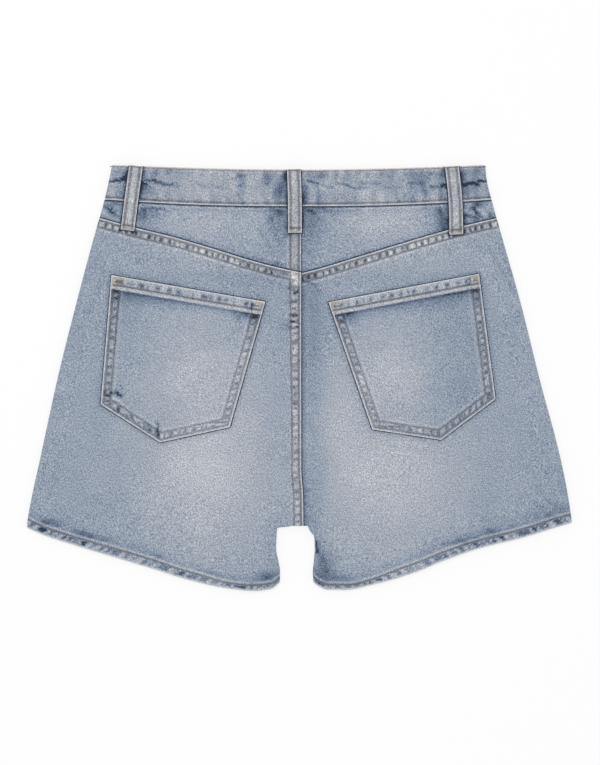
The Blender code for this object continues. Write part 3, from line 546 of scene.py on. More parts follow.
def felled_seam(distance, along, second, lights, seed, rubbed_tone, bar_tone):
    """Height, tone and browning of a flat-felled seam at a distance from its free edge.

    second is the place of its outer stitch row. lights, 0 to 1, are its bulges, rubbed to
    rubbed_tone, with bars of bar_tone between them.
    """
    first = FELL_ROWS[0]
    standing = FELL_RISE * (1.0 - ease(distance, second + 0.6, second + 3.4))
    rounding = -0.3 * (1.0 - ease(distance, 0.0, 0.8))
    share = (distance - first) / (second - first)
    between = ease(share, 0.08, 0.26) * (1.0 - ease(share, 0.72, 0.92))
    bulges = 2.0 * lights - 1.0
    beyond = np.maximum(0.0, distance - second)
    past = ease(beyond, 0.3, 1.2) * (1.0 - ease(beyond, 2.0, 7.0))
    far_bulges = roping(along, 8.6, seed + 5)
    rows = bump(distance - first, FELL_ROW_SPREAD) + bump(distance - second, FELL_ROW_SPREAD)
    height = standing + rounding - 0.24 * rows + 0.26 * bulges * between + 0.16 * past * far_bulges
    tone = between * mix(bar_tone, rubbed_tone, lights) - 0.22 * rows + 0.05 * past * far_bulges
    tone += 0.2 * bump(distance - second - 2.3, 1.1)
    brown = 0.55 * rows + between * (0.38 - 0.28 * lights)
    return height, tone, brown


# ---------------------------------------------------------------- distances between pieces

def loop_frame(ends):
    """Origin, direction and length of a belt loop, and the direction across it."""
    (top_x, top_y), (end_x, end_y) = ends["top"], ends["end"]
    length = math.hypot(end_x - top_x, end_y - top_y)
    along = ((end_x - top_x) / length, (end_y - top_y) / length)
    across = (-along[1], along[0])
    return (top_x, top_y), along, across, length


def loop_distance(x, y):
    """Distance outside the nearest belt loop, less than zero under it."""
    nearest = np.full_like(x, FAR)
    for place, ends in LOOPS.items():
        (ox, oy), along, across, length = loop_frame(ends)
        step = (x - ox) * along[0] + (y - oy) * along[1]
        sway = LOOP_BEND[place] * np.sin(math.pi * np.clip(step / length, 0.0, 1.0))
        aside = np.abs((x - ox) * across[0] + (y - oy) * across[1] - sway) - LOOP_WIDTH / 2.0
        past = np.maximum(-step, step - length)
        outside = np.hypot(np.maximum(aside, 0.0), np.maximum(past, 0.0))
        nearest = np.minimum(nearest, outside + np.minimum(0.0, np.maximum(aside, past)))
    return nearest


def loop_shade(x, y, strength, reach):
    """Cloth beside a belt loop is darker: indigo sheltered from the wash there, and painted shadow of the
    raised loop.
    """
    beside = np.maximum(0.0, loop_distance(x, y))
    return -strength * (1.0 - ease(beside, 0.6 * reach, 1.6 * reach)) * ease(mottle(x, y, 7.0, 62), -1.0, 0.4)


def pocket_outline(side):
    corners = POCKETS[side]
    return [corners[name] for name in ("top_out", "top_in", "low_in", "tip", "low_out")]


def edge_distances(side, x, y):
    """Distances inside the pocket's mouth and inside its nearest sewn edge."""
    outline = pocket_outline(side)
    found = []
    for (x0, y0), (x1, y1) in zip(outline, outline[1:] + outline[:1]):
        length = math.hypot(x1 - x0, y1 - y0)
        found.append(SIGN[side] * ((x1 - x0) * (y - y0) - (y1 - y0) * (x - x0)) / length)
    return found[0], np.minimum.reduce(found[1:])


def pocket_distance(side, x, y):
    """Distance outside the pocket's outline, less than zero under it."""
    mouth, sewn = edge_distances(side, x, y)
    outside = -np.minimum(mouth, sewn)
    nearest = np.full_like(x, 1e3)
    outline = pocket_outline(side)
    for (x0, y0), (x1, y1) in zip(outline, outline[1:] + outline[:1]):
        length = math.hypot(x1 - x0, y1 - y0)
        ux, uy = (x1 - x0) / length, (y1 - y0) / length
        along = np.clip((x - x0) * ux + (y - y0) * uy, 0.0, length)
        nearest = np.minimum(nearest, np.hypot(x - x0 - ux * along, y - y0 - uy * along))
    return np.where(outside > 0.0, nearest, -nearest)


# ---------------------------------------------------------------- heights and tones of pieces
# Each surface gives a height and four marks for the materials: wash (tone of the indigo, with painted
# shade added beside loops, seams, pocket mouths and creases), brown (staining by thread), and the distances
# from the piece's own edge and from a cover, which the materials turn into pale edges and painted contact
# shadow.

BASE_TONE = 0.5


def seat_fell(x, y):
    """The middle seam, folded onto the left panels."""
    distance = np.maximum(0.0, seat_seam(y) - x)
    rubbed_tone = 0.27 + 0.1 * mottle(x * 0.2, y, 16.0, 63)
    lights = uneven_marks("seat", y + 0.12 * distance + 0.3 * mottle(x, y, 2.2, 66), SEAT_SEED)
    lights = mix(lights, 0.75, 0.8 * ease(y, 96.0, 110.0))
    felled = felled_seam(distance, y, seat_second(y), lights, SEAT_SEED, rubbed_tone, -0.2)
    height, tone, brown = felled
    more_height, more_tone = crease(SEAM_CREASES, x, y)
    return height + more_height, tone + more_tone, brown


def cloth_ripple(x, y):
    """Slight unevenness of washed cloth that has been laid down by hand."""
    return 0.16 * mottle(x, y, 34.0, 1) + 0.07 * mottle(x, y, 11.0, 2)


def hem_row(side, out):
    """Height of a hem's stitch row over its edge, at a distance out from the middle."""
    wave = 0.4 * np.sin(out / 21.0 + (0.0 if side == "left" else 2.0))
    return mix(HEM_ROW_NARROW, HEM_ROW_WIDE, ease(out, 62.0, 106.0)) + wave


def turned_hem(side, x, y, edge):
    """Height, tone and browning of a hem turned up and sewn, over its lower edge."""
    hem = y - edge
    row = hem_row(side, np.abs(x))
    seed = SEEDS["hem"][side]
    jitter = 0.9 * mottle(x, y, 2.4, seed + 4)
    sheltered = uneven_marks("hem", np.abs(x) + 0.8 * (hem - 0.5 * row) + jitter, seed)
    slant = 1.0 - 2.0 * sheltered
    belly = ease(hem, 0.5, 1.3) * (1.0 - ease(hem, row - 1.7, row - 0.9))
    low = ease(hem + 0.6 * jitter, 0.9, 3.2)
    inside = 1.0 - ease(hem, row + 0.2, row + 2.2)
    line = bump(hem - row, ROW_SPREAD)
    above = hem - row - 2.3
    height = 0.35 * inside + 0.3 * slant * belly - 0.3 * line - 0.5 * (1.0 - ease(hem, 0.0, 1.0))
    far_rope = roping(np.abs(x) + 0.7 * hem, 11.5, seed)
    height += 0.2 * far_rope * ease(above, -1.0, 0.4) * (1.0 - ease(above, 2.4, 12.0))
    fade = 0.9 + 0.25 * mottle(x, y, 15.0, seed + 6)
    tone = belly * (0.19 - 0.66 * fade * sheltered * low) - 0.3 * line + 0.2 * bump(above, 0.95)
    spots = ease(mottle(x, 1.6 * y, 8.0, seed + 2), -0.15, 0.35)
    near = ease(above, 0.8, 1.8) * (1.0 - ease(above, 3.5, 7.5))
    tone -= 0.12 * spots * near + 0.1 * bump(np.maximum(0.0, above), 9.0) * ease(above, 0.2, 1.4)
    brown = 0.45 * line + 0.1 * bump(above, 1.0) + 0.05 * belly
    return height, tone, brown


def back_surface(side, x, y):
    """Upper face of a seat and leg panel."""
    height = laid_height(side, x, y) + cloth_ripple(x, y)
    tone = BASE_TONE + wash_and_shade_tone(LEG_WASH_AND_SHADE, x, y)
    tone += 0.03 * mottle(x, y, 26.0, 4) + 0.022 * mottle(x, y, 9.0, 5)
    from_yoke = yoke_line[side](np.abs(x)) - y
    seed = SEEDS["yoke"][side]
    rubbed_tone = 0.33 + 0.08 * mottle(x, y, 14.0, 64)
    along = np.abs(x) - 0.2 * from_yoke + 0.3 * mottle(x, y, 2.2, 65)
    lights = uneven_marks("yoke", along, seed)
    felled = felled_seam(from_yoke, along, FELL_ROWS[1], lights, seed, rubbed_tone, -0.42)
    seam_height, seam_tone, brown = felled
    from_middle = seat_seam(y) - x
    on_middle = side == "left"
    if on_middle:
        middle_height, middle_tone, middle_brown = seat_fell(x, y)
        past = from_middle - seat_second(y)
        share = 1.0 - ease(past, 0.8, 2.6)
        seam_height = np.where(past < 8.0, np.maximum(seam_height, middle_height), seam_height)
        seam_tone = mix(seam_tone, middle_tone, share)
        brown = mix(brown, middle_brown, share)
    height += seam_height
    tone += seam_tone
    lower = hem_height(side, x)
    hem_relief, hem_tone, hem_brown = turned_hem(side, x, y, lower)
    height += hem_relief
    tone += hem_tone
    brown = brown + hem_brown
    more_height, more_tone = crease(LEG_CREASES, x, y)
    height += more_height
    tone += more_tone
    outside_pocket = pocket_distance(side, x, y)
    # Painted shade round the pocket's edges, a little darker, over cloth that ropes there.
    around = bump(np.maximum(0.0, outside_pocket), 4.0) * (outside_pocket > -2.0)
    height += 0.12 * around * roping(x + y, 9.0, 31)
    tone -= 0.03 * around
    tone += loop_shade(x, y, 0.3, 2.0)
    # cover: distance from the pocket, the belt loops and the lapping seat seam, for painted contact shadow.
    cover = np.minimum(1.15 * outside_pocket, 1.1 * loop_distance(x, y))
    if not on_middle:
        cover = np.minimum(cover, -from_middle)
        # Painted shade beside the seat seam that laps over the right panel.
        tone -= 0.16 * bump(np.maximum(0.0, -from_middle), 4.5)
    edge = np.where(from_yoke < 6.0, 1.2 * from_yoke, FAR)
    if on_middle:
        edge = np.minimum(edge, 1.5 * from_middle)
    edge = np.minimum(edge, 1.15 * (y - lower))
    height -= fold_drop(fold_distance(side, x, y))
    return {"height": height, "wash": tone, "brown": brown, "edge": edge, "cover": cover}


def yoke_surface(side, x, y):
    height = laid_height(side, x, y) + cloth_ripple(x, y)
    tone = BASE_TONE + wash_and_shade_tone(YOKE_WASH_AND_SHADE, x, y) + loop_shade(x, y, 0.3, 2.0)
    ends = ease(np.abs(x), 158.0, 174.0)
    crumple = mottle(x, y * 1.4, 6.5, 7)
    tone += 0.03 * mottle(x, y, 20.0, 6) + (0.03 + 0.1 * ends) * crumple
    height += 0.2 * ends * crumple
    under_band = band_edge(BAND_BOTTOM, x) - y
    pull = bump(np.maximum(0.0, under_band), 5.0) * roping(x, 17.0, 8)
    height += 0.15 * pull
    open_yoke = ease(np.abs(x), 22.0, 60.0) * (1.0 - ease(np.abs(x), 135.0, 155.0))
    tone += 0.05 * pull - 0.06 * bump(under_band - 5.0, 2.0)
    tone += (0.04 + 0.17 * open_yoke) * bump(under_band - 2.9, 1.2)
    above_seam = y - yoke_line[side](np.abs(x))
    # Painted shadow of the seat panel's edge where it laps over the yoke.
    tone -= 0.08 * bump(above_seam, 4.0)
    # cover: distance from the waistband, the seat seams and the belt loops, for painted contact shadow.
    cover = np.minimum(np.minimum(0.66 * under_band, 0.75 * above_seam), loop_distance(x, y))
    edge = np.full_like(x, FAR)
    brown = np.zeros_like(x)
    if side == "left":
        middle_height, middle_tone, brown = seat_fell(x, y)
        height += middle_height
        tone += middle_tone
        edge = 1.5 * (seat_seam(y) - x)
    else:
        cover = np.minimum(cover, x - seat_seam(y))
    more_height, more_tone = crease(YOKE_CREASES, x, y)
    height += more_height - fold_drop(fold_distance(side, x, y))
    return {"height": height, "wash": tone + more_tone, "brown": brown, "edge": edge, "cover": cover}


def pocket_surface(side, x, y):
    mouth, sewn = edge_distances(side, x, y)
    turned = POCKET_EDGE_RISE * (1.0 - ease(sewn, POCKET_EDGE_WIDTH, POCKET_EDGE_WIDTH + 3.0))
    hemmed = POCKET_HEM_RISE * (1.0 - ease(mouth, POCKET_HEM_WIDTH - 0.8, POCKET_HEM_WIDTH + 0.7))
    height = laid_height(side, x, y) + POCKET_GAP + CLOTH + np.maximum(turned, hemmed)
    height += 0.8 * cloth_ripple(x + 50.0, y)
    height -= 0.3 * (1.0 - ease(np.minimum(mouth, sewn), 0.0, 0.8))
    tone = BASE_TONE - 0.05 + wash_and_shade_tone(POCKET_WASH_AND_SHADE, x, y)
    tone += 0.03 * mottle(x, y, 24.0, 9) + 0.03 * mottle(x, y, 8.0, 10)
    on_hem = 1.0 - ease(mouth, POCKET_HEM_WIDTH - 0.6, POCKET_HEM_WIDTH + 0.4)
    below = 1.0 - on_hem
    first, second = POCKET_ROWS
    first_row, second_row = bump(sewn - first, ROW_SPREAD), bump(sewn - second, ROW_SPREAD)
    row_brown = 0.5 * first_row + 0.35 * second_row
    rows = first_row + second_row
    share = (sewn - first) / (second - first)
    between = ease(share, 0.08, 0.3) * (1.0 - ease(share, 0.7, 0.92)) * below
    corners = POCKETS[side]
    outer_half = np.abs(x) > abs(corners["tip"][0])
    side_end = np.where(outer_half, corners["low_out"][1], corners["low_in"][1])
    along = np.where(y > side_end + 2.0, y, x)
    blotch = mottle(x, y, 3.2, 43)
    rubbed = uneven_marks("pocket", along + 0.1 * sewn + 0.4 * blotch, SEEDS["pocket"][side])
    bulges = 2.0 * rubbed - 1.0
    height += (0.22 * bulges + 0.1 * blotch) * between - 0.22 * rows * below
    tone += between * (0.46 * rubbed - 0.26) - 0.2 * rows * below
    tone += 0.15 * bump(sewn - second - 2.6, 1.2) * below
    brown = (row_brown + between * (0.3 - 0.27 * rubbed)) * below

    row = POCKET_HEM_ROW
    belly = ease(mouth, 1.6, 2.8) * (1.0 - ease(mouth, row - 2.6, row - 1.4))
    seed = SEEDS["mouth"][side]
    square = uneven_marks("mouth", x + 0.5 * blotch, seed) * bump((mouth - 0.58 * row) / 2.5, 1.0)
    line = bump(mouth - row, ROW_SPREAD)
    rope = roping(x + 0.35 * mouth, 10.2, seed)
    height += on_hem * ((0.12 * rope - 0.25 * square) * belly - 0.26 * line)
    hem_tone = BASE_TONE + 0.22 + 0.06 * mottle(x, y, 7.0, 46) - 0.62 * square - 0.5 * line
    hem_tone += 0.05 * bump(mouth - row - 2.4, 1.0)
    tone = mix(tone, hem_tone, on_hem)
    brown = brown + on_hem * (0.55 * line + 0.08)
    # Painted shade under the raised hem of the mouth, together with indigo that stayed dark there.
    shade = bump(np.maximum(0.0, mouth - POCKET_HEM_WIDTH - 0.4), 2.2)
    tone -= below * (0.2 * shade + 0.08 * bump(np.maximum(0.0, mouth - POCKET_HEM_WIDTH), 8.0))
    more_height, more_tone = crease(POCKET_CREASES, x, y)
    return {"height": height + more_height, "wash": tone + more_tone, "brown": brown,
            "edge": 1.25 * np.minimum(mouth, sewn), "cover": np.full_like(x, FAR)}


def band_surface(x, y):
    """Extra height and the marks of the waistband's back."""
    tone = BASE_TONE - 0.03 + 1.1 * wash_and_shade_tone(BAND_WASH_AND_SHADE, x, y) + loop_shade(x, y, 0.3, 1.7)
    tone += 0.13 * mottle(x, 0.4 * y, 9.0, 12) + 0.08 * mottle(x, 0.5 * y, 4.6, 13)
    from_top = band_edge(BAND_TOP, x) - y
    from_bottom = y - band_edge(BAND_BOTTOM, x)
    top_row, low_row = bump(from_top - BAND_ROWS[0], 0.7), bump(from_bottom - BAND_ROWS[1], 1.1)
    pull = roping(x + 0.2 * from_bottom, 13.5, 14) * bump(np.maximum(0.0, from_bottom - 3.4), 9.0)
    pull_top = roping(x + 5.0 + 0.3 * from_top, 12.0, 15) * bump(np.maximum(0.0, from_top - 2.5), 8.0)
    height = -0.22 * (top_row + low_row) + 0.2 * pull + 0.14 * pull_top + 0.12 * mottle(x, y, 16.0, 16)
    height -= 0.35 * (1.0 - ease(np.minimum(from_top, from_bottom), 0.0, 0.9))
    tone += 0.1 * pull + 0.1 * pull_top
    more_height, more_tone = crease(BAND_CREASES, x, y)
    tone += more_tone
    top_strip = 1.0 - ease(from_top, 2.6, 5.0)
    brown = np.maximum(0.1 * ease(tone, 0.3, 0.55), 0.4 * top_strip) + 0.1 * top_row + 0.4 * low_row
    tone += 0.15 * top_strip - 0.12 * top_row - 0.28 * low_row
    edge = np.minimum(1.3 * from_bottom, 1.6 * from_top)
    # cover: distance from the belt loops, for their painted contact shadow on the waistband.
    return {"height": height + more_height, "wash": tone, "brown": brown,
            "edge": edge, "cover": loop_distance(x, y)}


# ---------------------------------------------------------------- sheet builder

# Distances of a grid's lines from a free edge, a hem, a yoke's edge, and below a pocket's hem.
EDGE_STEPS = (
    0.0, 0.45, 0.9, 1.35, 1.8, 2.2, 2.6, 3.0, 3.5, 4.2, 5.0, 5.8, 6.6, 7.4, 8.2, 8.8, 9.4, 10.0, 10.8,
    11.8, 13.0,
)
HEM_STEPS = (
    0.0, 0.4, 0.9, 1.5, 2.2, 3.0, 3.8, 4.5, 5.1, 5.7, 6.3, 6.9, 7.5, 8.1, 8.7, 9.3, 9.9, 10.6, 11.4, 12.5,
)
YOKE_STEPS = (0.0, 0.5, 1.0, 1.6, 2.4)
MOUTH_STEPS = (12.4, 13.0, 13.6, 14.3, 15.2, 16.2)
# Cells between those lines, and the rough sizes by which they are counted or spaced.
BACK_CELL = 2.2
FRONT_CELL = 3.6
LEG_TALL = 250.0 - FELL_END
LOW_TALL = 50.0
LEG_SEAM_REACH = {"left": 15.5, "right": 4.2}   # fine columns beside the middle seam
YOKE_COLUMNS = 84
YOKE_ROWS = 23
YOKE_UP = 150.0             # a first guess at the rows' height, which the rounds correct
POCKET_WIDE = 150.0
POCKET_TALL = 152.0
POCKET_SIDE_TALL = 128.0
POCKET_STEP = 0.014         # the first cell past the edge steps, as a share of the pocket
SETTLING = 6                # rounds in which a grid's columns and rows follow each other
WALL_STEPS = 50.0           # a wall's thickness is rounded to this many steps


def rim_steps(count=5):
    """Distances in from a folded edge, even round its curve."""
    quarter = math.pi / 2.0
    return [FOLD_RADIUS * (1.0 - math.cos(quarter * step / count)) for step in range(count + 1)]


def even_shares(count):
    """Shares of a way in count even steps, without its two ends."""
    return [step / count for step in range(1, count)]


def stations(*runs):
    """Kinds and values of a grid's lines, from runs of lines of one kind."""
    kinds = [kind for kind, places in runs for _ in places]
    values = [place for _, places in runs for place in places]
    return np.array(kinds), np.array(values)


def stand(name, data):
    """A new object in the scene."""
    piece = bpy.data.objects.new(name, data)
    bpy.context.scene.collection.objects.link(piece)
    return piece


def smooth(mesh):
    mesh.polygons.foreach_set("use_smooth", np.ones(len(mesh.polygons), bool))


def join_piece(piece, slot, *nodes):
    """Put a finished piece on the garment's body, in place of its plain solids."""
    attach(piece, BODY)
    if nodes:
        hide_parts(*nodes)


def lay_cloth(name, places, marks, wall, materials, facing_down=False, keep=None):
    """Make a sheet through a grid, given as its x, y and height, and give it its wall.

    marks are values of each point for the materials. keep says which cells are cloth.
    """
    points = np.stack(places, axis=-1)
    rows, columns = points.shape[:2]
    sheet = bmesh.new()
    bmesh.ops.create_grid(sheet, x_segments=columns - 1, y_segments=rows - 1, size=0.5)
    if keep is not None:
        waste = []
        for face in sheet.faces:
            middle = face.calc_center_median()
            i = int((middle.x + 0.5) * (columns - 1))
            j = int((0.5 - middle.y) * (rows - 1))
            if not keep(i, j):
                waste.append(face)
        bmesh.ops.delete(sheet, geom=waste, context="FACES")
    if facing_down:
        bmesh.ops.reverse_faces(sheet, faces=sheet.faces)
    mesh = bpy.data.meshes.new(name)
    sheet.to_mesh(mesh)
    sheet.free()
    flat = np.zeros(len(mesh.vertices) * 3, np.float32)
    mesh.vertices.foreach_get("co", flat)
    flat = flat.reshape(-1, 3)
    i = np.rint((flat[:, 0] + 0.5) * (columns - 1)).astype(int)
    j = np.rint((0.5 - flat[:, 1]) * (rows - 1)).astype(int)
    mesh.vertices.foreach_set("co", (points[j, i] * MM).astype(np.float32).ravel())
    for key, values in marks.items():
        mark = mesh.attributes.new(key, "FLOAT", "POINT")
        mark.data.foreach_set("value", np.clip(values[j, i], -FAR, FAR).astype(np.float32))
    for material in materials:
        mesh.materials.append(material)
    smooth(mesh)
    piece = stand(name, mesh)
    thickest = float(wall.max())
    group = piece.vertex_groups.new(name="wall")
    weights = np.rint(wall[j, i] / thickest * WALL_STEPS).astype(int)
    for weight in np.unique(weights):
        chosen = np.nonzero(weights == weight)[0].tolist()
        group.add(chosen, float(weight) / WALL_STEPS, "REPLACE")
    solidify = piece.modifiers.new("wall", "SOLIDIFY")
    solidify.thickness = thickest * MM
    solidify.offset = -1.0
    solidify.vertex_group = "wall"
    solidify.material_offset = 1 if len(materials) > 1 else 0
    depsgraph = bpy.context.evaluated_depsgraph_get()
    finished = bpy.data.meshes.new_from_object(piece.evaluated_get(depsgraph))
    piece.modifiers.clear()
    piece.vertex_groups.clear()
    piece.data = finished
    finished.name = name
    return piece


# ---------------------------------------------------------------- leg panels

def leg_grid(side, upper_edge, lower_edge, middle, cell):
    """Places of a leg panel's grid: columns from the side fold in, rows from the top down."""
    outward = SIGN[side]
    rim = rim_steps()
    wide = abs(float(side_edge[side](0.0)) - float(inner_leg[side](CROTCH_UP)))
    seam_steps = [step for step in reversed(EDGE_STEPS) if step < LEG_SEAM_REACH[side]]
    kind, value = stations(
        ("rim", rim), ("share", even_shares(round(wide / cell))), ("leg", rim[::-1]), ("seam", seam_steps),
    )
    row_kind, row_value = stations(
        ("upper", EDGE_STEPS), ("share", even_shares(round(LEG_TALL / cell))), ("crotch", rim[::-1]),
        ("low", even_shares(round(LOW_TALL / cell))), ("hem", HEM_STEPS[::-1]),
    )
    split = int(np.flatnonzero(kind == "leg")[-1])
    crotch_row = int(np.flatnonzero(row_kind == "crotch")[-1])
    row_kind, row_value = row_kind[:, None], row_value[:, None]
    shape = (len(row_kind), len(kind))

    def across_at(y):
        outer = side_edge[side](y)
        inner = inner_leg[side](np.minimum(y, CROTCH_UP))
        between = mix(outer - FOLD_RADIUS * outward, inner + FOLD_RADIUS * outward, value)
        x = np.where(kind == "rim", outer - value * outward, between)
        x = np.where(kind == "leg", inner + value * outward, x)
        return np.where(kind == "seam", middle(y) + value * outward, x)

    def up_at(x):
        upper, lower = upper_edge(x), lower_edge(x)
        crotch = crotch_height(x) + SIDE_ROW_LIFT * ease(np.abs(x), *SIDE_ROW_ACROSS)
        between = mix(upper - FELL_END, crotch + FOLD_RADIUS, row_value)
        y = np.where(row_kind == "upper", upper - row_value, between)
        y = np.where(row_kind == "crotch", crotch + row_value, y)
        y = np.where(row_kind == "low", mix(crotch, lower + HEM_END, row_value), y)
        return np.where(row_kind == "hem", lower + row_value, y)

    y = np.zeros(shape)
    for _ in range(SETTLING):
        y = up_at(across_at(y))
    x = across_at(y)

    def keep(i, j):
        in_seat = i >= split if side == "left" else i < shape[1] - 1 - split
        return not (in_seat and j >= crotch_row)

    if side == "right":
        x, y = x[:, ::-1], y[:, ::-1]
    return x, y, keep


def leg_wall(side, x, y, lower):
    inside = ease(fold_distance(side, x, y), 1.0, 7.0)
    hem = 1.0 - ease(y - lower, HEM_DEPTH, HEM_END)
    return mix(CLOTH, mix(HEM_EDGE_WALL, HEM_WALL, inside), hem)


def panel_area(x, y, keep):
    """Flat area of a laid grid, in square metres."""
    ax, ay = x[1:, 1:] - x[:-1, :-1], y[1:, 1:] - y[:-1, :-1]
    bx, by = x[1:, :-1] - x[:-1, 1:], y[1:, :-1] - y[:-1, 1:]
    cells = 0.5 * np.abs(ax * by - ay * bx)
    if keep is not None:
        rows, columns = cells.shape
        kept = np.array([[keep(i, j) for i in range(columns)] for j in range(rows)])
        cells = cells * kept
    return float(cells.sum()) * MM * MM


def declare_cloth(x, y, keep):
    """Work out a piece's flat width, length and area from its own outline; nothing is kept of them."""
    width, length = float(np.ptp(x)) * MM, float(np.ptp(y)) * MM
    panel_area(x, y, keep)


def make_back(side, materials):
    x, y, keep = leg_grid(
        side, lambda x: yoke_line[side](np.abs(x)), lambda x: hem_height(side, x),
        lambda y: seat_seam(y) + SEAM_GAP[side], BACK_CELL,
    )
    marks = back_surface(side, x, y)
    height = np.maximum(marks.pop("height"), BACK_LOWEST)
    wall = leg_wall(side, x, y, hem_height(side, x))
    piece = lay_cloth("back_panel_" + side, (x, y, height), marks, wall, materials, keep=keep)
    join_piece(piece, "denim", "back_" + side)
    declare_cloth(x, y, keep)


def make_front(side, materials):
    x, y, keep = leg_grid(
        side, lambda x: band_edge(BAND_BOTTOM, x) - front_dip(x) - HAIR,
        lambda x: front_hem_height(side, x), lambda y: FLY_EDGE + SEAM_GAP[side] + 0.0 * y, FRONT_CELL,
    )
    hem = y - front_hem_height(side, x)
    edge_roll = 0.35 * bump(hem, 0.8)
    rows = bump(hem - HEM_DEPTH + 0.4, 0.7)
    height = front_height(x, y) + 0.3 * rows + edge_roll
    tone = BASE_TONE + 0.05 * mottle(x, y, 30.0, 17) + wash_and_shade_tone(FRONT_WASH, np.abs(x), y)
    slant = roping(np.abs(x) + 0.8 * hem, 13.0, 23)
    belly = ease(hem, 0.3, 2.4) * (1.0 - ease(hem, 7.4, 9.0))
    tone += 0.2 * slant * belly
    height = height + 0.12 * (1.0 + slant) * belly
    from_fly = FLY_EDGE - x
    if side == "left":
        height = height + 0.25 * (bump(from_fly - 2.0, 0.6) + bump(from_fly - 8.2, 0.6))
    marks = {"wash": tone, "edge": np.minimum(hem + 0.6, np.abs(from_fly)),
             "cover": np.full_like(x, FAR), "brown": 0.8 * rows}
    height = np.minimum(height + fold_drop(fold_distance(side, x, y)), FRONT_HIGHEST)
    wall = leg_wall(side, x, y, front_hem_height(side, x))
    piece = lay_cloth("front_panel_" + side, (x, y, height), marks, wall, materials, True, keep)
    join_piece(piece, "denim", "front_" + side)
    declare_cloth(x, y, keep)


# ---------------------------------------------------------------- yokes

def make_yoke(side, materials):
    outward = SIGN[side]
    kind, value = stations(
        ("rim", rim_steps()), ("share", even_shares(YOKE_COLUMNS)), ("seam", EDGE_STEPS[::-1]),
    )
    row_kind, row_value = stations(
        ("top", YOKE_STEPS), ("share", even_shares(YOKE_ROWS)), ("low", YOKE_STEPS[::-1]),
    )
    row_kind, row_value = row_kind[:, None], row_value[:, None]
    y = np.full((len(row_value), len(value)), YOKE_UP)
    for _ in range(SETTLING):
        outer, center = side_edge[side](y), seat_seam(y) + SEAM_GAP[side]
        between = mix(outer - FOLD_RADIUS * outward, center + FELL_END * outward, value)
        x = np.where(kind == "rim", outer - value * outward, center + value * outward)
        x = np.where(kind == "share", between, x)
        upper = band_edge(BAND_BOTTOM, x) - HAIR
        lower = yoke_line[side](np.abs(x)) + HAIR
        between = mix(upper - YOKE_STEPS[-1], lower + YOKE_STEPS[-1], row_value)
        y = np.where(row_kind == "top", upper - row_value, lower + row_value)
        y = np.where(row_kind == "share", between, y)
    if side == "right":
        x, y = x[:, ::-1], y[:, ::-1]
    marks = yoke_surface(side, x, y)
    height = np.maximum(marks.pop("height"), BACK_LOWEST)
    piece = lay_cloth("yoke_piece_" + side, (x, y, height), marks, np.full_like(x, CLOTH), materials)
    join_piece(piece, "denim", "yoke_" + side)
    declare_cloth(x, y, None)


# ---------------------------------------------------------------- pockets

def pocket_grid(side):
    """Grid over the shield: columns follow its edges, and rows follow its mouth."""
    corners = {name: np.array(place) for name, place in POCKETS[side].items()}
    ends = ("out", "in") if side == "left" else ("in", "out")
    start, end = (corners["top_" + name] for name in ends)
    low_start, low_end = (corners["low_" + name] for name in ends)
    tip = corners["tip"]
    first = np.linalg.norm(tip - low_start)
    second = np.linalg.norm(tip - low_end)
    tip_share = first / (first + second)
    near = [step / POCKET_WIDE for step in EDGE_STEPS[:-1]]
    inner = np.linspace(near[-1] + POCKET_STEP, 1.0 - near[-1] - POCKET_STEP, 56)
    inner[int(np.argmin(np.abs(inner - tip_share)))] = tip_share
    u = np.concatenate([near, inner, [1.0 - step for step in reversed(near)]])
    top = [step / POCKET_TALL for step in EDGE_STEPS[:-1] + MOUTH_STEPS]
    low = [1.0 - step / POCKET_SIDE_TALL for step in reversed(EDGE_STEPS)]
    v = np.concatenate([top, np.linspace(top[-1] + POCKET_STEP, low[0] - POCKET_STEP, 48), low])
    upper = start + u[:, None] * (end - start)
    before = low_start + (u / tip_share)[:, None] * (tip - low_start)
    after_share = ((u - tip_share) / (1.0 - tip_share))[:, None]
    after = tip + after_share * (low_end - tip)
    lower = np.where((u <= tip_share)[:, None], before, after)
    points = upper[None] + v[:, None, None] * (lower - upper)[None]
    return points[..., 0], points[..., 1]


def make_pocket(side, materials):
    x, y = pocket_grid(side)
    marks = pocket_surface(side, x, y)
    height = marks.pop("height")
    wall = np.maximum(POCKET_THINNEST, height - (laid_height(side, x, y) + POCKET_UNDER))
    piece = lay_cloth("patch_pocket_" + side, (x, y, height), marks, wall, materials)
    join_piece(piece, "denim", "pocket_" + side)
    declare_cloth(x, y, None)


# ---------------------------------------------------------------- waistband

def waistband_path():
    """Stations round the waist: kind, place, height, and hand (1 right, -1 left, 0 at the ends)."""
    top = 2.0 * BAND_RADIUS
    inner = BAND_WALL + 0.2
    under = FLY_EDGE + 3.0
    turn = np.linspace(0.0, math.pi, 13)
    path = [("end", x, inner, 0.0) for x in np.linspace(FLY_EDGE + 2.0 - UNDERLAP, under, 12)]
    for share in np.linspace(0.2, 1.0, 5):
        path.append(("end", under + 12.0 * share, inner * (1.0 - ease(share, 0.0, 1.0)), 0.0))
    path += [("flat", share, 0.0, 1.0) for share in np.linspace(0.1, 0.995, 44)]
    path += [("fold", angle, 0.0, 1.0) for angle in turn]
    path += [("flat", share, top, 1.0) for share in np.linspace(0.995, 0.0, 104)]
    path += [("flat", share, top, -1.0) for share in np.linspace(0.01, 0.995, 104)]
    path += [("fold", angle, 0.0, -1.0) for angle in turn[::-1]]
    path += [("flat", share, 0.0, -1.0) for share in np.linspace(0.995, 0.1, 44)]
    path += [("end", x, 0.0, 0.0) for x in np.linspace(FLY_EDGE - 16.0, FLY_EDGE, 10)]
    return [np.array(column)[None, :] for column in zip(*path)]


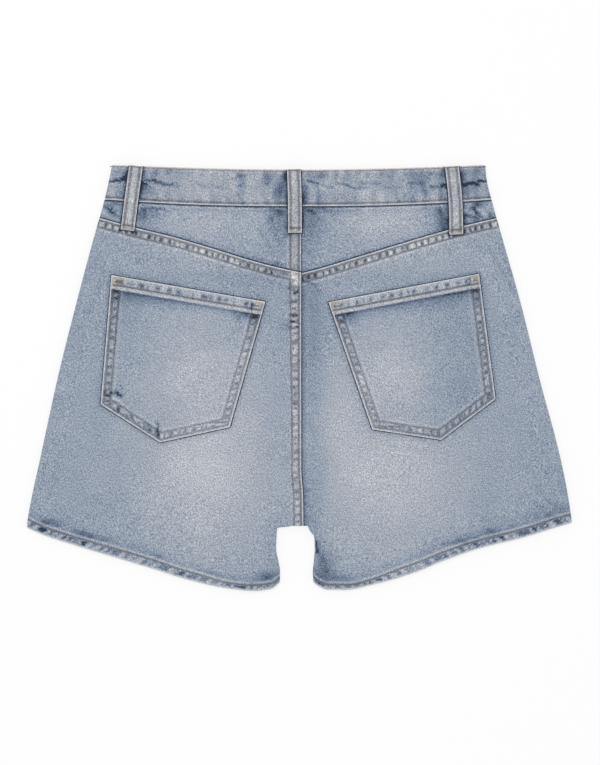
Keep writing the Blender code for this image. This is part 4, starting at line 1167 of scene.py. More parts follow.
def make_waistband(materials):
    """One strip round the waist: under end, front, side fold, back, side fold, over end."""
    kind, value, level, hand = waistband_path()
    near = np.array([0.0, 0.4, 0.8, 1.3, 1.8, 2.3, 2.8, 3.5]) / 34.0
    share = np.concatenate([near, np.linspace(0.13, 0.87, 20), 1.0 - near[::-1]])[:, None]
    end_up = mix(*(edge["middle"] + edge["rise"] for edge in (BAND_TOP, BAND_BOTTOM)), share)
    right = side_edge["right"](end_up) - BAND_RADIUS
    left = -side_edge["left"](end_up) - BAND_RADIUS
    reach = np.where(hand > 0.0, right, left)
    x = np.where(kind == "flat", hand * value * reach, value + 0.0 * share)
    x = np.where(kind == "fold", hand * (reach + BAND_RADIUS * np.sin(value)), x)
    height = np.where(kind == "fold", BAND_RADIUS * (1.0 - np.cos(value)), level + 0.0 * share)
    at_edge = np.where(kind == "fold", reach, x)
    front = 1.0 - ease(height, 0.8 * BAND_RADIUS, 1.2 * BAND_RADIUS)
    y = mix(band_edge(BAND_TOP, at_edge), band_edge(BAND_BOTTOM, at_edge), share)
    y = y - front * front_dip(x) * (kind != "fold")
    marks = band_surface(x, y + front * front_dip(x))
    relief = marks.pop("height")
    on_back = 1.0 - front
    marks["cover"] = np.where(on_back > 0.5, marks["cover"], FAR)
    marks["wash"] = mix(BASE_TONE + 0.04 * mottle(x, y, 12.0, 19), marks["wash"], on_back)
    height = height + relief * on_back - np.minimum(relief, 0.0) * front * 0.6 + button_rise(x, y)
    wall = np.full_like(x, BAND_WALL)
    piece = lay_cloth("waistband_strip", (x, y, height), marks, wall, materials, facing_down=True)
    join_piece(piece, "denim", "waistband")
    depth = float(np.hypot(np.diff(x[:, 200]), np.diff(y[:, 200])).sum()) * MM


# ---------------------------------------------------------------- belt loops

def make_loop(place, materials):
    (ox, oy), along, across, length = loop_frame(LOOPS[place])
    if across[0] < 0.0:
        across = (-across[0], -across[1])
    steps = np.concatenate([[0.0, 0.4, 0.9, 1.5, 2.3], np.linspace(3.3, length - 6.0, 34),
                            length - np.array([5.2, 4.6, 4.0, 3.2, 2.4, 1.6, 1.0, 0.5, 0.0])])[:, None]
    half = LOOP_WIDTH / 2.0
    side = np.array([0.0, 0.3, 0.7, 1.2, 1.7, 2.1, 2.5, LOOP_ROW, 3.4, 4.1, 5.0, 6.0])
    wide = np.concatenate([side - half, [0.0], (half - side)[::-1]])[None, :]
    sway = LOOP_BEND[place] * np.sin(math.pi * np.clip(steps / length, 0.0, 1.0))
    x = ox + along[0] * steps + across[0] * (wide + sway)
    y = oy + along[1] * steps + across[1] * (wide + sway)
    band = 2.0 * BAND_RADIUS + button_rise(x, y)
    cloth_face = np.maximum(laid_height("left", x, y), laid_height("right", x, y))
    for owner in SIGN:
        below = yoke_line[owner](np.abs(x)) - y
        own = (x < 0.0) if owner == "left" else (x >= 0.0)
        cloth_face = cloth_face + np.where(own, FELL_RISE * ease(below, -0.5, 0.8), 0.0)
    if place == "centre":
        cloth_face = cloth_face + FELL_RISE
    carrier = mix(cloth_face, np.maximum(band, cloth_face), ease(y - band_edge(BAND_BOTTOM, x), -7.0, -0.6))
    slack = np.sin(math.pi * np.minimum(1.0, steps / (length - 4.0))) ** 2
    from_edge = half - np.abs(wide)
    from_end = np.minimum(steps, length - steps)
    fall = 0.45 * (1.0 - ease(np.minimum(from_edge, from_end), 0.0, 1.1))
    trough = bump(from_edge - LOOP_ROW, 0.5)
    centre = ease(from_edge, LOOP_ROW + 0.4, LOOP_ROW + 1.6)
    end_row = bump(length - steps - 4.8, 1.0)
    folded = 1.0 - ease(length - steps, 5.4, 7.4)
    bulges = roping(steps + 0.0 * wide, 7.0, SEEDS["loop"][place])
    height = carrier + 0.3 + LOOP_WALL + LOOP_ARCH * slack - fall - 0.22 * trough
    height = height + 0.1 * bulges * centre - 0.3 * end_row + 0.35 * folded
    beside = bump(from_edge - LOOP_ROW, 1.3)
    streak = mottle(x * 1.4, y * 0.35, 1.7, 55)
    tone = BASE_TONE + 0.02 + 0.22 * centre - 0.16 * beside + 0.05 * bulges * centre + 0.1 * streak
    tone = tone - 0.34 * end_row + 0.06 * mottle(x, y, 6.0, 54)
    brown = 0.3 + 0.25 * beside - 0.1 * centre + 0.4 * end_row + 0.0 * height
    marks = {"wash": tone + 0.0 * height, "edge": 0.3 + 1.1 * np.minimum(from_edge, from_end) + 0.0 * height,
             "cover": np.full_like(height, FAR), "brown": brown}
    wall = LOOP_WALL - fall + 0.35 * folded + 0.0 * height
    piece = lay_cloth("belt_loop_" + place, (x, y, height), marks, wall, materials[:1])
    join_piece(piece, "denim", "loop_" + place)
    return x, y, height


# ---------------------------------------------------------------- thread

def thread_run(path, surface, pitch, length):
    """Middles, heights, headings, tilts and lengths of the stitches along a path on a surface."""
    path = np.asarray(path, float)
    legs = np.hypot(*np.diff(path, axis=0).T)
    run = np.concatenate([[0.0], np.cumsum(legs)])
    count = max(1, int(run[-1] / pitch))
    middles = (np.arange(count) + 0.5) * run[-1] / count
    x = np.interp(middles, run, path[:, 0])
    y = np.interp(middles, run, path[:, 1])
    ahead_x = np.interp(middles + 0.5, run, path[:, 0]) - np.interp(middles - 0.5, run, path[:, 0])
    ahead_y = np.interp(middles + 0.5, run, path[:, 1]) - np.interp(middles - 0.5, run, path[:, 1])
    heading = np.arctan2(ahead_y, ahead_x)
    z = surface(x, y)
    step_x, step_y = np.cos(heading), np.sin(heading)
    tilt = np.arctan2(surface(x + step_x, y + step_y) - surface(x - step_x, y - step_y), 2.0)
    return np.stack([x, y, z, heading, tilt, np.full_like(x, length)], axis=-1)


THREAD_DEPTH = 0.5
TACK_THREAD = 0.6


def sew_down(name, runs, width, material):
    """One piece of many short thread humps, copied from a single rounded one."""
    hump = bmesh.new()
    bmesh.ops.create_uvsphere(hump, u_segments=6, v_segments=4, radius=0.5)
    bmesh.ops.rotate(hump, verts=hump.verts, cent=(0.0, 0.0, 0.0),
                     matrix=Matrix.Rotation(math.pi / 2.0, 3, "Y"))
    bmesh.ops.triangulate(hump, faces=hump.faces)
    shape = np.array([vertex.co for vertex in hump.verts]) * np.array([1.0, width, THREAD_DEPTH])
    faces = np.array([[vertex.index for vertex in face.verts] for face in hump.faces])
    hump.free()
    spots = np.concatenate(runs)
    heading, tilt = spots[:, 3, None], spots[:, 4, None]
    reach = shape[None, :, 0] * spots[:, 5, None]
    along = reach * np.cos(tilt)
    x = spots[:, 0, None] + along * np.cos(heading) - shape[None, :, 1] * np.sin(heading)
    y = spots[:, 1, None] + along * np.sin(heading) + shape[None, :, 1] * np.cos(heading)
    z = spots[:, 2, None] + shape[None, :, 2] + reach * np.sin(tilt)
    points = np.stack([x, y, z], axis=-1).reshape(-1, 3) * MM
    all_faces = (faces[None] + np.arange(len(spots))[:, None, None] * len(shape)).reshape(-1, 3)
    mesh = bpy.data.meshes.new(name)
    mesh.from_pydata(points.tolist(), [], all_faces.tolist())
    smooth(mesh)
    mesh.materials.append(material)
    join_piece(stand(name, mesh), "denim")


def curve_points(start, stop, place, count=120):
    """Points of a sewn line, from a function of the distance across."""
    return [place(value) for value in np.linspace(start, stop, count)]


def inset_pocket(side, inset, mouth_inset):
    """Path of a stitch row round a pocket, a distance inside its sewn edges."""
    outline = [Vector(point) for point in pocket_outline(side)]
    offsets = [mouth_inset, inset, inset, inset, inset]
    moved = []
    for a, b, offset in zip(outline, outline[1:] + outline[:1], offsets):
        heading = (b - a).normalized()
        normal = Vector((-heading.y, heading.x)) * SIGN[side]
        moved.append((a + normal * offset, heading))
    corners = []
    for (a, u), (b, v) in zip(moved, moved[1:] + moved[:1]):
        cross = u.x * v.y - u.y * v.x
        t = ((b.x - a.x) * v.y - (b.y - a.y) * v.x) / cross
        corners.append(tuple(a + u * t))
    return corners


def panel_face(side):
    return lambda x, y: back_surface(side, x, y)["height"]


def pocket_face(side):
    return lambda x, y: pocket_surface(side, x, y)["height"]


def seat_face(x, y):
    """Upper face along the middle seam: the left yoke, then the left panel."""
    on_yoke = yoke_surface("left", x, y)["height"]
    return np.where(y > yoke_line["left"](np.abs(x)), on_yoke, panel_face("left")(x, y))


def band_face(x, y):
    return 2.0 * BAND_RADIUS + button_rise(x, y) + band_surface(x, y)["height"]


def garment_seams():
    """Topstitched lines of the yoke seams, hems and pockets: their groups, paths and the surfaces that they
    lie on.
    """
    seams = []
    # Both pockets' rows take the right pocket's heights, so the left one's lie a little off it.
    rows_face = pocket_face("right")
    for side, sign in SIGN.items():
        face = panel_face(side)
        for row in FELL_ROWS:
            seams.append(("seams", curve_points(FELL_ROW_START[side], FELL_ROW_END, lambda out: (
                sign * out, float(yoke_line[side](out)) - row)), face))
        inner = abs(float(inner_leg[side](HEM_START_UP))) + 2.2
        outer = abs(float(side_edge[side](HEM_STOP_UP))) - 2.6
        seams.append(("seams", curve_points(inner, outer, lambda out: (
            sign * out, float(hem_height(side, out) + hem_row(side, out))), 160), face))
        for row in POCKET_ROWS:
            seams.append(("pockets", inset_pocket(side, row, POCKET_ROW_END), rows_face))
        corners = inset_pocket(side, POCKET_ROW_END, POCKET_HEM_ROW)
        seams.append(("pockets", [corners[4], corners[0]], rows_face))
    return seams


# ---------------------------------------------------------------- materials

def linear(red, green, blue):
    """A screen colour, 0 to 255, as the linear colour that Blender's sockets take."""
    def one(value):
        value /= 255.0
        return value / 12.92 if value <= 0.04045 else ((value + 0.055) / 1.055) ** 2.4
    return (one(red), one(green), one(blue), 1.0)


def new_group(name, inputs, outputs):
    group = bpy.data.node_groups.new(name, "ShaderNodeTree")
    for label, kind, default in inputs:
        socket = group.interface.new_socket(name=label, in_out="INPUT", socket_type=kind)
        socket.default_value = default
    for label, kind in outputs:
        group.interface.new_socket(name=label, in_out="OUTPUT", socket_type=kind)
    source = group.nodes.new("NodeGroupInput")
    sink = group.nodes.new("NodeGroupOutput")
    return group, source, sink


class Wiring:
    """Short ways to add and join the nodes of one tree."""

    def __init__(self, tree):
        self.tree = tree

    def node(self, kind, **settings):
        node = self.tree.nodes.new(kind)
        for key, value in settings.items():
            setattr(node, key, value)
        return node

    def put(self, socket, value):
        if isinstance(value, bpy.types.NodeSocket):
            self.tree.links.new(value, socket)
        else:
            socket.default_value = value

    def filled(self, kind, values, **settings):
        """A node whose inputs, by name or number, take sockets or plain values."""
        node = self.node(kind, **settings)
        for key, value in values.items():
            self.put(node.inputs[key], value)
        return node

    def math(self, operation, first, second=0.0):
        return self.filled("ShaderNodeMath", {0: first, 1: second}, operation=operation).outputs[0]

    def add_scaled(self, value, other, factor):
        """The first value plus the second one times a factor."""
        return self.math("ADD", value, self.math("MULTIPLY", other, factor))

    def span(self, value, low, high, to_low=0.0, to_high=1.0):
        ends = {"Value": value, "From Min": low, "From Max": high, "To Min": to_low, "To Max": to_high}
        return self.filled("ShaderNodeMapRange", ends, interpolation_type="SMOOTHSTEP").outputs["Result"]

    def blend(self, share, first, second):
        """A colour between two others."""
        return self.filled("ShaderNodeMix", {0: share, 6: first, 7: second}, data_type="RGBA").outputs[2]

    def noise(self, vector, scale, detail=2.0, roughness=0.5):
        values = {"Vector": vector, "Scale": scale, "Detail": detail, "Roughness": roughness}
        return self.filled("ShaderNodeTexNoise", values).outputs["Fac"]

    def cells(self, vector, lean, across, along, detail):
        """Noise from -0.5 to 0.5, with cells of a size in metres that lean by an angle in degrees."""
        turn = (0.0, 0.0, math.radians(lean))
        values = {"Vector": vector, "Rotation": turn, "Scale": (across, along, across)}
        cell = self.filled("ShaderNodeMapping", values, vector_type="TEXTURE")
        return self.math("SUBTRACT", self.noise(cell.outputs["Vector"], 1.0, detail), 0.5)

    def mark(self, name):
        node = self.node("ShaderNodeAttribute", attribute_name=name, attribute_type="GEOMETRY")
        return node.outputs["Fac"]

    def place(self):
        """The point's place on its object."""
        return self.node("ShaderNodeTexCoord").outputs["Object"]

    def group(self, name, **values):
        return self.filled("ShaderNodeGroup", values, node_tree=bpy.data.node_groups[name]).outputs

    def relief(self, shader, height, strength, distance):
        """Small bumps of a surface, from a height."""
        values = {"Strength": strength, "Distance": distance, "Height": height}
        self.put(shader.inputs["Normal"], self.filled("ShaderNodeBump", values).outputs["Normal"])


# Cells of the cloth's grain: their lean in degrees, their size across and along in metres, and detail.
GRAIN = {
    "lattice": (-22.0, 0.00085, 0.0014, 0.0),
    "crossing": (52.0, 0.0009, 0.0019, 0.0),
    "pebble": (-35.0, 0.0024, 0.0034, 1.0),
    "patch": (-35.0, 0.003, 0.0045, 1.0),
}


def grain_group():
    """Grain of washed twill: a fine leaning lattice, soft pebbles and the size of fading patches."""
    group, source, sink = new_group(
        "twill_grain",
        [("Vector", "NodeSocketVector", (0.0, 0.0, 0.0)), ("Strength", "NodeSocketFloat", 1.0)],
        [("Tone", "NodeSocketFloat"), ("Patch", "NodeSocketFloat"), ("Height", "NodeSocketFloat")],
    )
    wire = Wiring(group)
    cells = {name: wire.cells(source.outputs["Vector"], *row) for name, row in GRAIN.items()}
    fine = wire.math("MULTIPLY", cells["lattice"], 1.02)
    fine = wire.add_scaled(fine, cells["crossing"], 0.36)
    fine = wire.add_scaled(fine, cells["pebble"], 0.06)
    wire.put(sink.inputs["Tone"], wire.math("MULTIPLY", fine, source.outputs["Strength"]))
    wire.put(sink.inputs["Patch"], cells["patch"])
    wire.put(sink.inputs["Height"], wire.add_scaled(cells["lattice"], cells["pebble"], 0.4))


def wear_and_contact_shadow_group():
    """Rubbed edges turn pale, and beside a covering edge the cloth gets a painted contact shadow and, further
    out, a fainter painted shade.
    """
    group, source, sink = new_group(
        "edge_wear_and_contact_shadow",
        [("Tone", "NodeSocketFloat", 0.5), ("Edge", "NodeSocketFloat", FAR),
         ("Cover", "NodeSocketFloat", FAR), ("Grain", "NodeSocketFloat", 0.0),
         ("Patch", "NodeSocketFloat", 0.0)],
        [("Tone", "NodeSocketFloat")],
    )
    wire = Wiring(group)
    given = source.outputs
    uneven = wire.add_scaled(wire.math("MULTIPLY", given["Grain"], 2.0), given["Patch"], 3.0)
    edge = wire.add_scaled(given["Edge"], uneven, 0.55)
    cover = wire.add_scaled(given["Cover"], uneven, 0.25)
    pale = wire.span(edge, 0.6, 2.1, 0.95, 0.0)
    # dark: painted contact shadow right beside a covering edge; shade: a wider, fainter painted shade.
    dark = wire.span(cover, 0.6, 1.7, 0.92, 0.0)
    shade = wire.span(cover, 1.5, 6.0, 0.08, 0.0)
    tone = wire.math("SUBTRACT", given["Tone"], shade)
    for target, share in ((1.0, pale), (0.0, dark)):
        tone = wire.add_scaled(tone, wire.math("SUBTRACT", target, tone), share)
    wire.put(sink.inputs["Tone"], tone)


TONE_SPAN = 1.25            # the tone of undyed yarn, at the far end of both colour ramps


def dye_group(colours):
    """Colour of the cloth from its tone, between indigo and thread-stained brown."""
    group, source, sink = new_group(
        "indigo_dye",
        [("Tone", "NodeSocketFloat", 0.5), ("Brown", "NodeSocketFloat", 0.0),
         ("Grain", "NodeSocketFloat", 0.0)],
        [("Color", "NodeSocketColor")]
    )
    wire = Wiring(group)
    share = wire.math("DIVIDE", source.outputs["Tone"], TONE_SPAN)

    def ramp(*stops):
        node = wire.filled("ShaderNodeValToRGB", {"Fac": share})
        line = node.color_ramp
        line.elements[1].position = 1.0
        for index, (tone, colour) in enumerate(stops):
            if 0 < index < len(stops) - 1:
                element = line.elements.new(tone / TONE_SPAN)
            else:
                element = line.elements[0 if index == 0 else len(line.elements) - 1]
            element.color = (*colour, 1.0)
        return node.outputs["Color"]

    indigo = ramp((0.0, colours.dark), (0.2, colours.deep), (0.4, colours.blue), (0.5, colours.middle),
                  (0.65, colours.worn), (0.8, colours.pale), (1.0, colours.bare), (TONE_SPAN, colours.yarn))
    stained = ramp((0.0, colours.stain_dark), (0.3, colours.stain_deep), (0.5, colours.stain),
                   (0.8, colours.stain_pale), (1.0, colours.bare), (TONE_SPAN, colours.yarn))
    shade = wire.blend(source.outputs["Brown"], indigo, stained)
    strength = wire.math("ADD", wire.math("MULTIPLY", source.outputs["Grain"], 0.95), 1.0)
    glint = wire.filled("ShaderNodeVectorMath", {0: shade, "Scale": strength}, operation="SCALE")
    wire.put(sink.inputs["Color"], glint.outputs["Vector"])


# Strength and distance of the cloth's small bumps.
CLOTH_RELIEF = (0.5, 0.0004)


def start_material(name, roughness, metallic=0.0):
    material = bpy.data.materials.new(name)
    material.use_nodes = True
    shader = material.node_tree.nodes["Principled BSDF"]
    shader.inputs["Roughness"].default_value = roughness
    shader.inputs["Metallic"].default_value = metallic
    return material, shader, Wiring(material.node_tree)


def shaded(colour, factor):
    """A colour made darker or lighter, with its alpha."""
    return (*[min(1.0, value * factor) for value in colour], 1.0)


def denim_material():
    """Right side of the cloth, driven by the wash, brown, edge and cover marks; the cover mark gives it
    painted contact shadow.
    """
    material, shader, wire = start_material("washed_denim", 0.88)
    shader.inputs["Specular IOR Level"].default_value = 0.2
    shader.inputs["Sheen Weight"].default_value = 0.06
    wash = wire.mark("wash")
    grain = wire.group("twill_grain", Vector=wire.place(), Strength=wire.span(wash, 0.0, 0.5, 0.75, 1.0))
    # worn: the tone with pale rubbed edges and painted contact shadow.
    worn = wire.group("edge_wear_and_contact_shadow", Tone=wire.add_scaled(wash, grain["Tone"], 0.42), Edge=wire.mark("edge"),
                      Cover=wire.mark("cover"), Grain=grain["Tone"], Patch=grain["Patch"])
    dye = wire.group("indigo_dye", Tone=worn["Tone"], Brown=wire.mark("brown"), Grain=grain["Tone"])
    wire.put(shader.inputs["Base Color"], dye["Color"])
    wire.relief(shader, grain["Height"], *CLOTH_RELIEF)


def reverse_material():
    """Wrong side of the cloth: the paler weft shows."""
    _, shader, wire = start_material("denim_reverse", 0.9)
    grain = wire.group("twill_grain", Vector=wire.place(), Strength=0.8)
    dye = wire.group("indigo_dye", Tone=wire.add_scaled(0.78, grain["Tone"], 0.5))
    wire.put(shader.inputs["Base Color"], dye["Color"])
    wire.relief(shader, grain["Height"], *CLOTH_RELIEF)


def thread_material(name, colour, spread):
    """Twisted cotton thread, a little uneven from the wash."""
    material, shader, wire = start_material(name, 0.7)
    place = wire.place()
    share = wire.span(wire.noise(place, 160.0, 2.0, 0.6), 0.3, 0.7)
    shade = wire.blend(share, shaded(colour, 1.0 - spread), shaded(colour, 1.0 + spread))
    wire.put(shader.inputs["Base Color"], shade)
    ply = wire.filled("ShaderNodeTexWave", {"Vector": place, "Scale": 900.0},
                      wave_type="BANDS", bands_direction="DIAGONAL")
    wire.relief(shader, ply.outputs["Fac"], 0.4, 0.0002)
    return material


def copper_material(colour):
    material, shader, wire = start_material("aged_copper", 0.35, 1.0)
    tarnish = wire.noise(wire.place(), 420.0, 3.0, 0.6)
    shade = wire.blend(wire.span(tarnish, 0.35, 0.7), shaded(colour, 1.0), shaded(colour, 0.55))
    wire.put(shader.inputs["Base Color"], shade)
    wire.put(shader.inputs["Roughness"], wire.span(tarnish, 0.3, 0.8, 0.28, 0.55))
    return material


def tape_material():
    material, shader, wire = start_material("zip_tape", 0.85)
    weave = wire.noise(wire.place(), 900.0)
    wire.put(shader.inputs["Base Color"], wire.blend(weave, linear(70, 82, 104), linear(104, 116, 138)))
    return material


# ---------------------------------------------------------------- the add-on

class ShortsSizes(bpy.types.PropertyGroup):
    """Sizes of the sewing."""

    stitch_length: bpy.props.FloatProperty(
        name="Stitch length", description="Visible length of one topstitch", default=0.0026, unit="LENGTH")
    stitch_pitch: bpy.props.FloatProperty(
        name="Stitch pitch", description="Distance from one topstitch to the next", default=0.0031,
        unit="LENGTH")
    thread_width: bpy.props.FloatProperty(
        name="Thread width", description="Width of the topstitching thread", default=0.0009, unit="LENGTH")
    tack_pitch: bpy.props.FloatProperty(
        name="Bartack pitch", description="Distance between the threads of a bartack", default=0.0006,
        unit="LENGTH")


def colour_property(name, description, colour):
    return bpy.props.FloatVectorProperty(
        name=name, description=description, subtype="COLOR", size=3, min=0.0, max=1.0,
        default=linear(*colour)[:3])


class ShortsColours(bpy.types.PropertyGroup):
    """Colours of the cloth, from unwashed to rubbed bare, and of the trimmings."""

    # The darkest stops also colour the painted contact shadows and painted shade beside covering edges, loops
    # and seams.
    dark: colour_property("Unwashed", "Indigo in the deepest creases", (44, 54, 71))
    deep: colour_property("Deep", "Indigo beside seams", (99, 113, 135))
    blue: colour_property("Blue", "Indigo where cloth is little worn", (132, 145, 163))
    middle: colour_property("Middle", "General washed blue", (147, 158, 174))
    worn: colour_property("Worn", "Rubbed cloth", (164, 171, 182))
    pale: colour_property("Pale", "Well rubbed cloth", (181, 185, 193))
    bare: colour_property("Bare", "Edges rubbed to the white yarn", (205, 207, 210))
    yarn: colour_property("Yarn", "Undyed yarn of frayed edges", (238, 238, 238))
    stain_dark: colour_property("Dark stain", "Brown in the deepest grooves", (62, 60, 62))
    stain_deep: colour_property("Deep stain", "Brown in the stitch rows", (112, 106, 103))
    stain: colour_property("Stain", "Brown between the stitch rows", (146, 138, 132))
    stain_pale: colour_property("Pale stain", "Rubbed cloth stained by thread", (184, 178, 172))
    thread: colour_property("Thread", "Faded brown topstitching", (125, 119, 117))
    tack: colour_property("Bartack", "Ochre bartack thread", (204, 189, 166))
    pale_tack: colour_property("Pale bartack", "Bartack thread rubbed pale", (198, 192, 182))
    old_tack: colour_property("Worn bartack", "Brown bartack thread", (138, 126, 118))
    copper: colour_property("Copper", "Shank button", (176, 120, 84))
    floor: colour_property("Floor", "Pale floor", (160, 160, 160))


class ShortsLight(bpy.types.PropertyGroup):
    """Studio light and camera."""

    sky: bpy.props.FloatProperty(name="Sky", description="Strength of the even light", default=0.82)
    glow: bpy.props.FloatProperty(name="Glow", description="Strength of the lit table", default=0.64)
    lamp: bpy.props.FloatProperty(
        name="Lamp", description="Power of the soft lamp", default=18.0, unit="POWER")
    lens: bpy.props.FloatProperty(name="Lens", description="Focal length in millimetres", default=100.0)


FLOOR_HALF = 3.0
WHITE = (1.0, 1.0, 1.0, 1.0)
LAMP_SIZE = 1.6
LAMP_PLACE = (-0.5, 0.7, 2.8)
SENSOR_WIDTH = 36.0
VIEW_TALL = 0.765           # metres seen from top to bottom, at the lift's height
CAMERA_PLACE = (0.0005, -0.0045)
CAMERA_LIFT = 0.004


def settings():
    return bpy.context.scene.shorts_sizes, bpy.context.scene.shorts_colours


def cloth_materials():
    """The two sides of the denim, made when a piece first needs them."""
    if "washed_denim" not in bpy.data.materials:
        _, colours = settings()
        grain_group()
        wear_and_contact_shadow_group()
        dye_group(colours)
        denim_material()
        reverse_material()
    return [bpy.data.materials["washed_denim"], bpy.data.materials["denim_reverse"]]


def topstitch_thread(colours):
    """Thread of the topstitching, made when a row first needs it."""
    return bpy.data.materials.get("thread") or thread_material("thread", colours.thread, 0.12)


class BothSides:
    """A step that makes one piece for each side."""

    def execute(self, context):
        for side in SIGN:
            self.make(side, cloth_materials())
        return {"FINISHED"}


class SHORTS_OT_fronts(BothSides, bpy.types.Operator):
    """Lay the two front panels, face down"""

    bl_idname = "shorts.fronts"
    bl_label = "Fronts"
    make = staticmethod(make_front)


class SHORTS_OT_backs(BothSides, bpy.types.Operator):
    """Lay the two seat and leg panels with their felled seams and hems"""

    bl_idname = "shorts.backs"
    bl_label = "Seat and legs"
    make = staticmethod(make_back)


class SHORTS_OT_yokes(BothSides, bpy.types.Operator):
    """Lay the two yokes"""

    bl_idname = "shorts.yokes"
    bl_label = "Yokes"
    make = staticmethod(make_yoke)


class SHORTS_OT_pockets(BothSides, bpy.types.Operator):
    """Lay the two patch pockets on the seat"""

    bl_idname = "shorts.pockets"
    bl_label = "Patch pockets"
    make = staticmethod(make_pocket)


class SHORTS_OT_waistband(bpy.types.Operator):
    """Fold the waistband round the waist"""

    bl_idname = "shorts.waistband"
    bl_label = "Waistband"

    def execute(self, context):
        make_waistband(cloth_materials())
        return {"FINISHED"}


class SHORTS_OT_loops(bpy.types.Operator):
    """Lay the belt loops over the waistband and sew them down"""

    bl_idname = "shorts.loops"
    bl_label = "Belt loops"

    def execute(self, context):
        sizes, colours = settings()
        pitch, length = sizes.stitch_pitch / MM, sizes.stitch_length / MM
        runs = []
        for place in LOOPS:
            x, y, height = make_loop(place, cloth_materials())
            for column in (7, x.shape[1] - 8):
                line = np.stack([x[2:-9, column], y[2:-9, column]], axis=-1)
                run = thread_run(line, lambda px, py: 0.0 * px, pitch, length)
                order = np.argsort(line[:, 1])
                run[:, 2] = np.interp(run[:, 1], line[order, 1], height[2:-9, column][order])
                runs.append(run)
        sew_down("loop_stitching", runs, sizes.thread_width / MM, topstitch_thread(colours))
        return {"FINISHED"}


class SHORTS_OT_topstitching(bpy.types.Operator):
    """Sew the rows of topstitching along seams, pockets, waistband and hems"""

    bl_idname = "shorts.topstitching"
    bl_label = "Topstitching"

    def execute(self, context):
        sizes, colours = settings()
        thread = topstitch_thread(colours)
        pitch, length = sizes.stitch_pitch / MM, sizes.stitch_length / MM
        runs = {"seams": [], "pockets": [], "waistband": []}

        def sew(key, path, surface):
            runs[key].append(thread_run(path, surface, pitch, length))

        for key, path, surface in garment_seams():
            sew(key, path, surface)
        ups = np.linspace(SEAT_ROWS_TOP, CROTCH_UP + 0.5, 200)
        for row in (FELL_ROWS[0] + 0.0 * ups, seat_second(ups)):
            sew("seams", np.stack([seat_seam(ups) - row, ups], axis=-1), seat_face)
        across = np.linspace(*BAND_ROW_ENDS, 260)
        lower = across * LOW_ROW_SPREAD
        top_row, low_row = BAND_ROWS
        sew("waistband", np.stack([across, band_edge(BAND_TOP, across) - top_row], axis=-1), band_face)
        sew("waistband", np.stack([lower, band_edge(BAND_BOTTOM, lower) + low_row], axis=-1), band_face)
        for key, found in runs.items():
            sew_down("topstitching_" + key, found, sizes.thread_width / MM, thread)
        return {"FINISHED"}


class SHORTS_OT_bartacks(bpy.types.Operator):
    """Sew the bartacks at pocket corners and belt loops"""

    bl_idname = "shorts.bartacks"
    bl_label = "Bartacks"

    def execute(self, context):
        sizes, colours = settings()
        shades = {"ochre": colours.tack, "worn": colours.old_tack, "pale": colours.pale_tack}
        runs = {shade: [] for shade in shades}

        def bar(x0, y0, x1, y1, width, shade, surface):
            run = thread_run([(x0, y0), (x1, y1)], surface, sizes.tack_pitch / MM, width)
            run[:, 3] += math.pi / 2.0
            run[:, 4] = 0.0
            run[:, 2] += 0.1
            runs[shade].append(run)

        for tack in POCKET_TACKS:
            bar(tack["x0"], tack["y0"], tack["x1"], tack["y1"], tack["width"], tack["shade"],
                pocket_face(tack["side"]))
        for place, ends in LOOPS.items():
            (ox, oy), along, across, reach = loop_frame(ends)
            for tack in LOOP_TACKS:
                step = tack["down"] if tack["from_end"] == 0 else reach - tack["down"]
                cx, cy = ox + along[0] * step, oy + along[1] * step
                half = tack["half"]
                level = loop_level(place, cx, cy)
                bar(cx - across[0] * half, cy - across[1] * half, cx + across[0] * half,
                    cy + across[1] * half, tack["width"], tack["shade"], lambda x, y: level + 0.0 * x)
        for shade, colour in shades.items():
            sew_down("bartacks_" + shade, runs[shade], TACK_THREAD, thread_material(shade, colour, 0.16))
        return {"FINISHED"}


def loop_level(place, x, y):
    """Height of a belt loop's face at a point, from its own mesh."""
    loop = bpy.data.objects["belt_loop_" + place]
    spot = Vector((x * MM, y * MM, 0.1))
    hit, found, _, _ = loop.ray_cast(spot, Vector((0.0, 0.0, -1.0)))
    if not hit:
        raise RuntimeError("no belt loop under the bartack at " + place)
    return found.z / MM


class SHORTS_OT_fastening(bpy.types.Operator):
    """Make the button and finish the zip and its shield inside the fly"""

    bl_idname = "shorts.fastening"
    bl_label = "Button, zip and fly"

    def execute(self, context):
        _, colours = settings()
        make_button(copper_material(colours.copper))
        reverse = cloth_materials()[1]
        for node, material in (("fly_shield", reverse), ("fly_zip", tape_material())):
            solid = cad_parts[node]
            solid.data.materials.clear()
            solid.data.materials.append(material)
        return {"FINISHED"}


def make_button(material):
    """Shank button: a turned cap with a rolled rim and a sunk face, lying face down."""
    profile = ((0.0, 0.42), (0.45, 0.42), (0.62, 0.2), (0.74, 0.02), (0.88, 0.0), (0.97, 0.16), (1.0, 0.42),
               (0.98, 0.72), (0.9, 0.95), (0.6, 1.0), (0.0, 1.0))
    cap = bmesh.new()
    line = []
    for radius, height in profile:
        line.append(cap.verts.new((radius * BUTTON_RADIUS * MM, 0.0, height * BUTTON_HEIGHT * MM)))
    edges = [cap.edges.new(pair) for pair in zip(line, line[1:])]
    bmesh.ops.spin(cap, geom=line + edges, cent=(0.0, 0.0, 0.0), axis=(0.0, 0.0, 1.0),
                   angle=2.0 * math.pi, steps=48, use_merge=True)
    bmesh.ops.remove_doubles(cap, verts=cap.verts, dist=1e-6)
    bmesh.ops.recalc_face_normals(cap, faces=cap.faces)
    bmesh.ops.translate(cap, verts=cap.verts, vec=(BUTTON_PLACE[0] * MM, BUTTON_PLACE[1] * MM, 0.0))
    mesh = bpy.data.meshes.new("button_cap")
    cap.to_mesh(mesh)
    cap.free()
    mesh.materials.append(material)
    smooth(mesh)
    join_piece(stand("button_cap", mesh), "copper", "button")


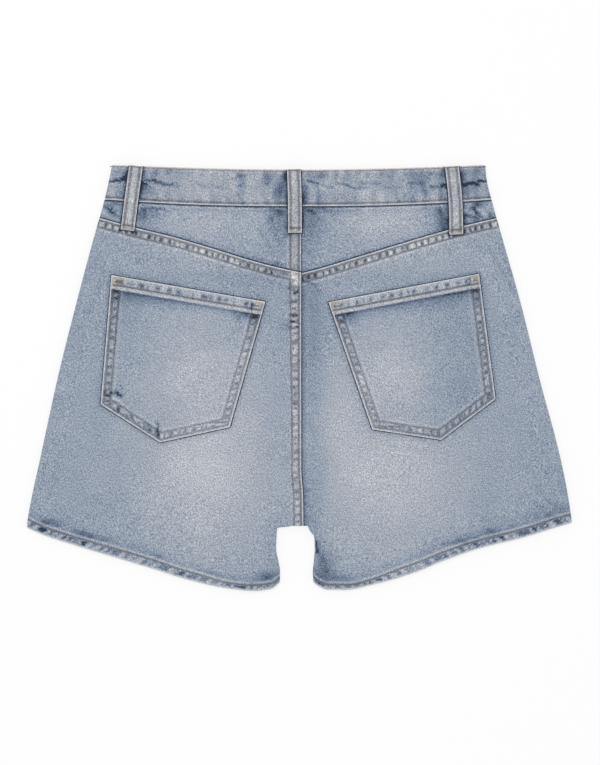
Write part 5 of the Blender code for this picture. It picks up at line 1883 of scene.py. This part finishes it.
class SHORTS_OT_stage(bpy.types.Operator):
    """Make the pale floor, the soft studio light and the camera above"""

    bl_idname = "shorts.stage"
    bl_label = "Stage"

    def execute(self, context):
        scene = context.scene
        light = scene.shorts_light
        _, colours = settings()
        ground = bmesh.new()
        bmesh.ops.create_grid(ground, x_segments=2, y_segments=2, size=FLOOR_HALF)
        mesh = bpy.data.meshes.new("floor")
        ground.to_mesh(mesh)
        ground.free()
        material, shader, _ = start_material("floor_paint", 0.9)
        shader.inputs["Base Color"].default_value = (*colours.floor, 1.0)
        shader.inputs["Emission Color"].default_value = WHITE
        shader.inputs["Emission Strength"].default_value = light.glow
        shader.inputs["Specular IOR Level"].default_value = 0.0
        mesh.materials.append(material)
        stand("floor", mesh)

        scene.world = bpy.data.worlds.new("studio")
        scene.world.use_nodes = True
        sky = scene.world.node_tree.nodes["Background"].inputs
        sky["Color"].default_value = WHITE
        sky["Strength"].default_value = light.sky

        lamp = stand("soft_lamp", bpy.data.lights.new("soft_lamp", "AREA"))
        lamp.data.shape = "DISK"
        lamp.data.size = LAMP_SIZE
        lamp.data.energy = light.lamp
        lamp.location = LAMP_PLACE
        lamp.rotation_euler = (-lamp.location).to_track_quat("-Z", "Y").to_euler()

        camera = stand("camera", bpy.data.cameras.new("camera"))
        camera.data.lens = light.lens
        camera.data.sensor_width = SENSOR_WIDTH
        distance = VIEW_TALL * light.lens / SENSOR_WIDTH
        camera.location = (*CAMERA_PLACE, distance + CAMERA_LIFT)
        scene.camera = camera
        scene.view_settings.view_transform = "Standard"
        return {"FINISHED"}


STEPS = (
    SHORTS_OT_stage, SHORTS_OT_fronts, SHORTS_OT_backs, SHORTS_OT_yokes, SHORTS_OT_pockets,
    SHORTS_OT_waistband, SHORTS_OT_loops, SHORTS_OT_topstitching, SHORTS_OT_bartacks,
    SHORTS_OT_fastening,
)


class SHORTS_PT_panel(bpy.types.Panel):
    """Sizes, colours and steps of the shorts"""

    bl_idname = "SHORTS_PT_panel"
    bl_label = "Denim shorts"
    bl_space_type = "VIEW_3D"
    bl_region_type = "UI"
    bl_category = "Shorts"

    def draw(self, context):
        scene = context.scene
        for group in (scene.shorts_sizes, scene.shorts_colours, scene.shorts_light):
            box = self.layout.box()
            for key in group.__annotations__:
                box.prop(group, key)
        for step in STEPS:
            self.layout.operator(step.bl_idname)


CLASSES = (ShortsSizes, ShortsColours, ShortsLight) + STEPS + (SHORTS_PT_panel,)


def register():
    for kind in CLASSES:
        bpy.utils.register_class(kind)
    bpy.types.Scene.shorts_sizes = bpy.props.PointerProperty(type=ShortsSizes)
    bpy.types.Scene.shorts_colours = bpy.props.PointerProperty(type=ShortsColours)
    bpy.types.Scene.shorts_light = bpy.props.PointerProperty(type=ShortsLight)


def unregister():
    del bpy.types.Scene.shorts_sizes
    del bpy.types.Scene.shorts_colours
    del bpy.types.Scene.shorts_light
    for kind in reversed(CLASSES):
        bpy.utils.unregister_class(kind)


def main():
    register()
    for step in STEPS:
        group, name = step.bl_idname.split(".")
        getattr(getattr(bpy.ops, group), name)()


if __name__ == "__main__":
    main()
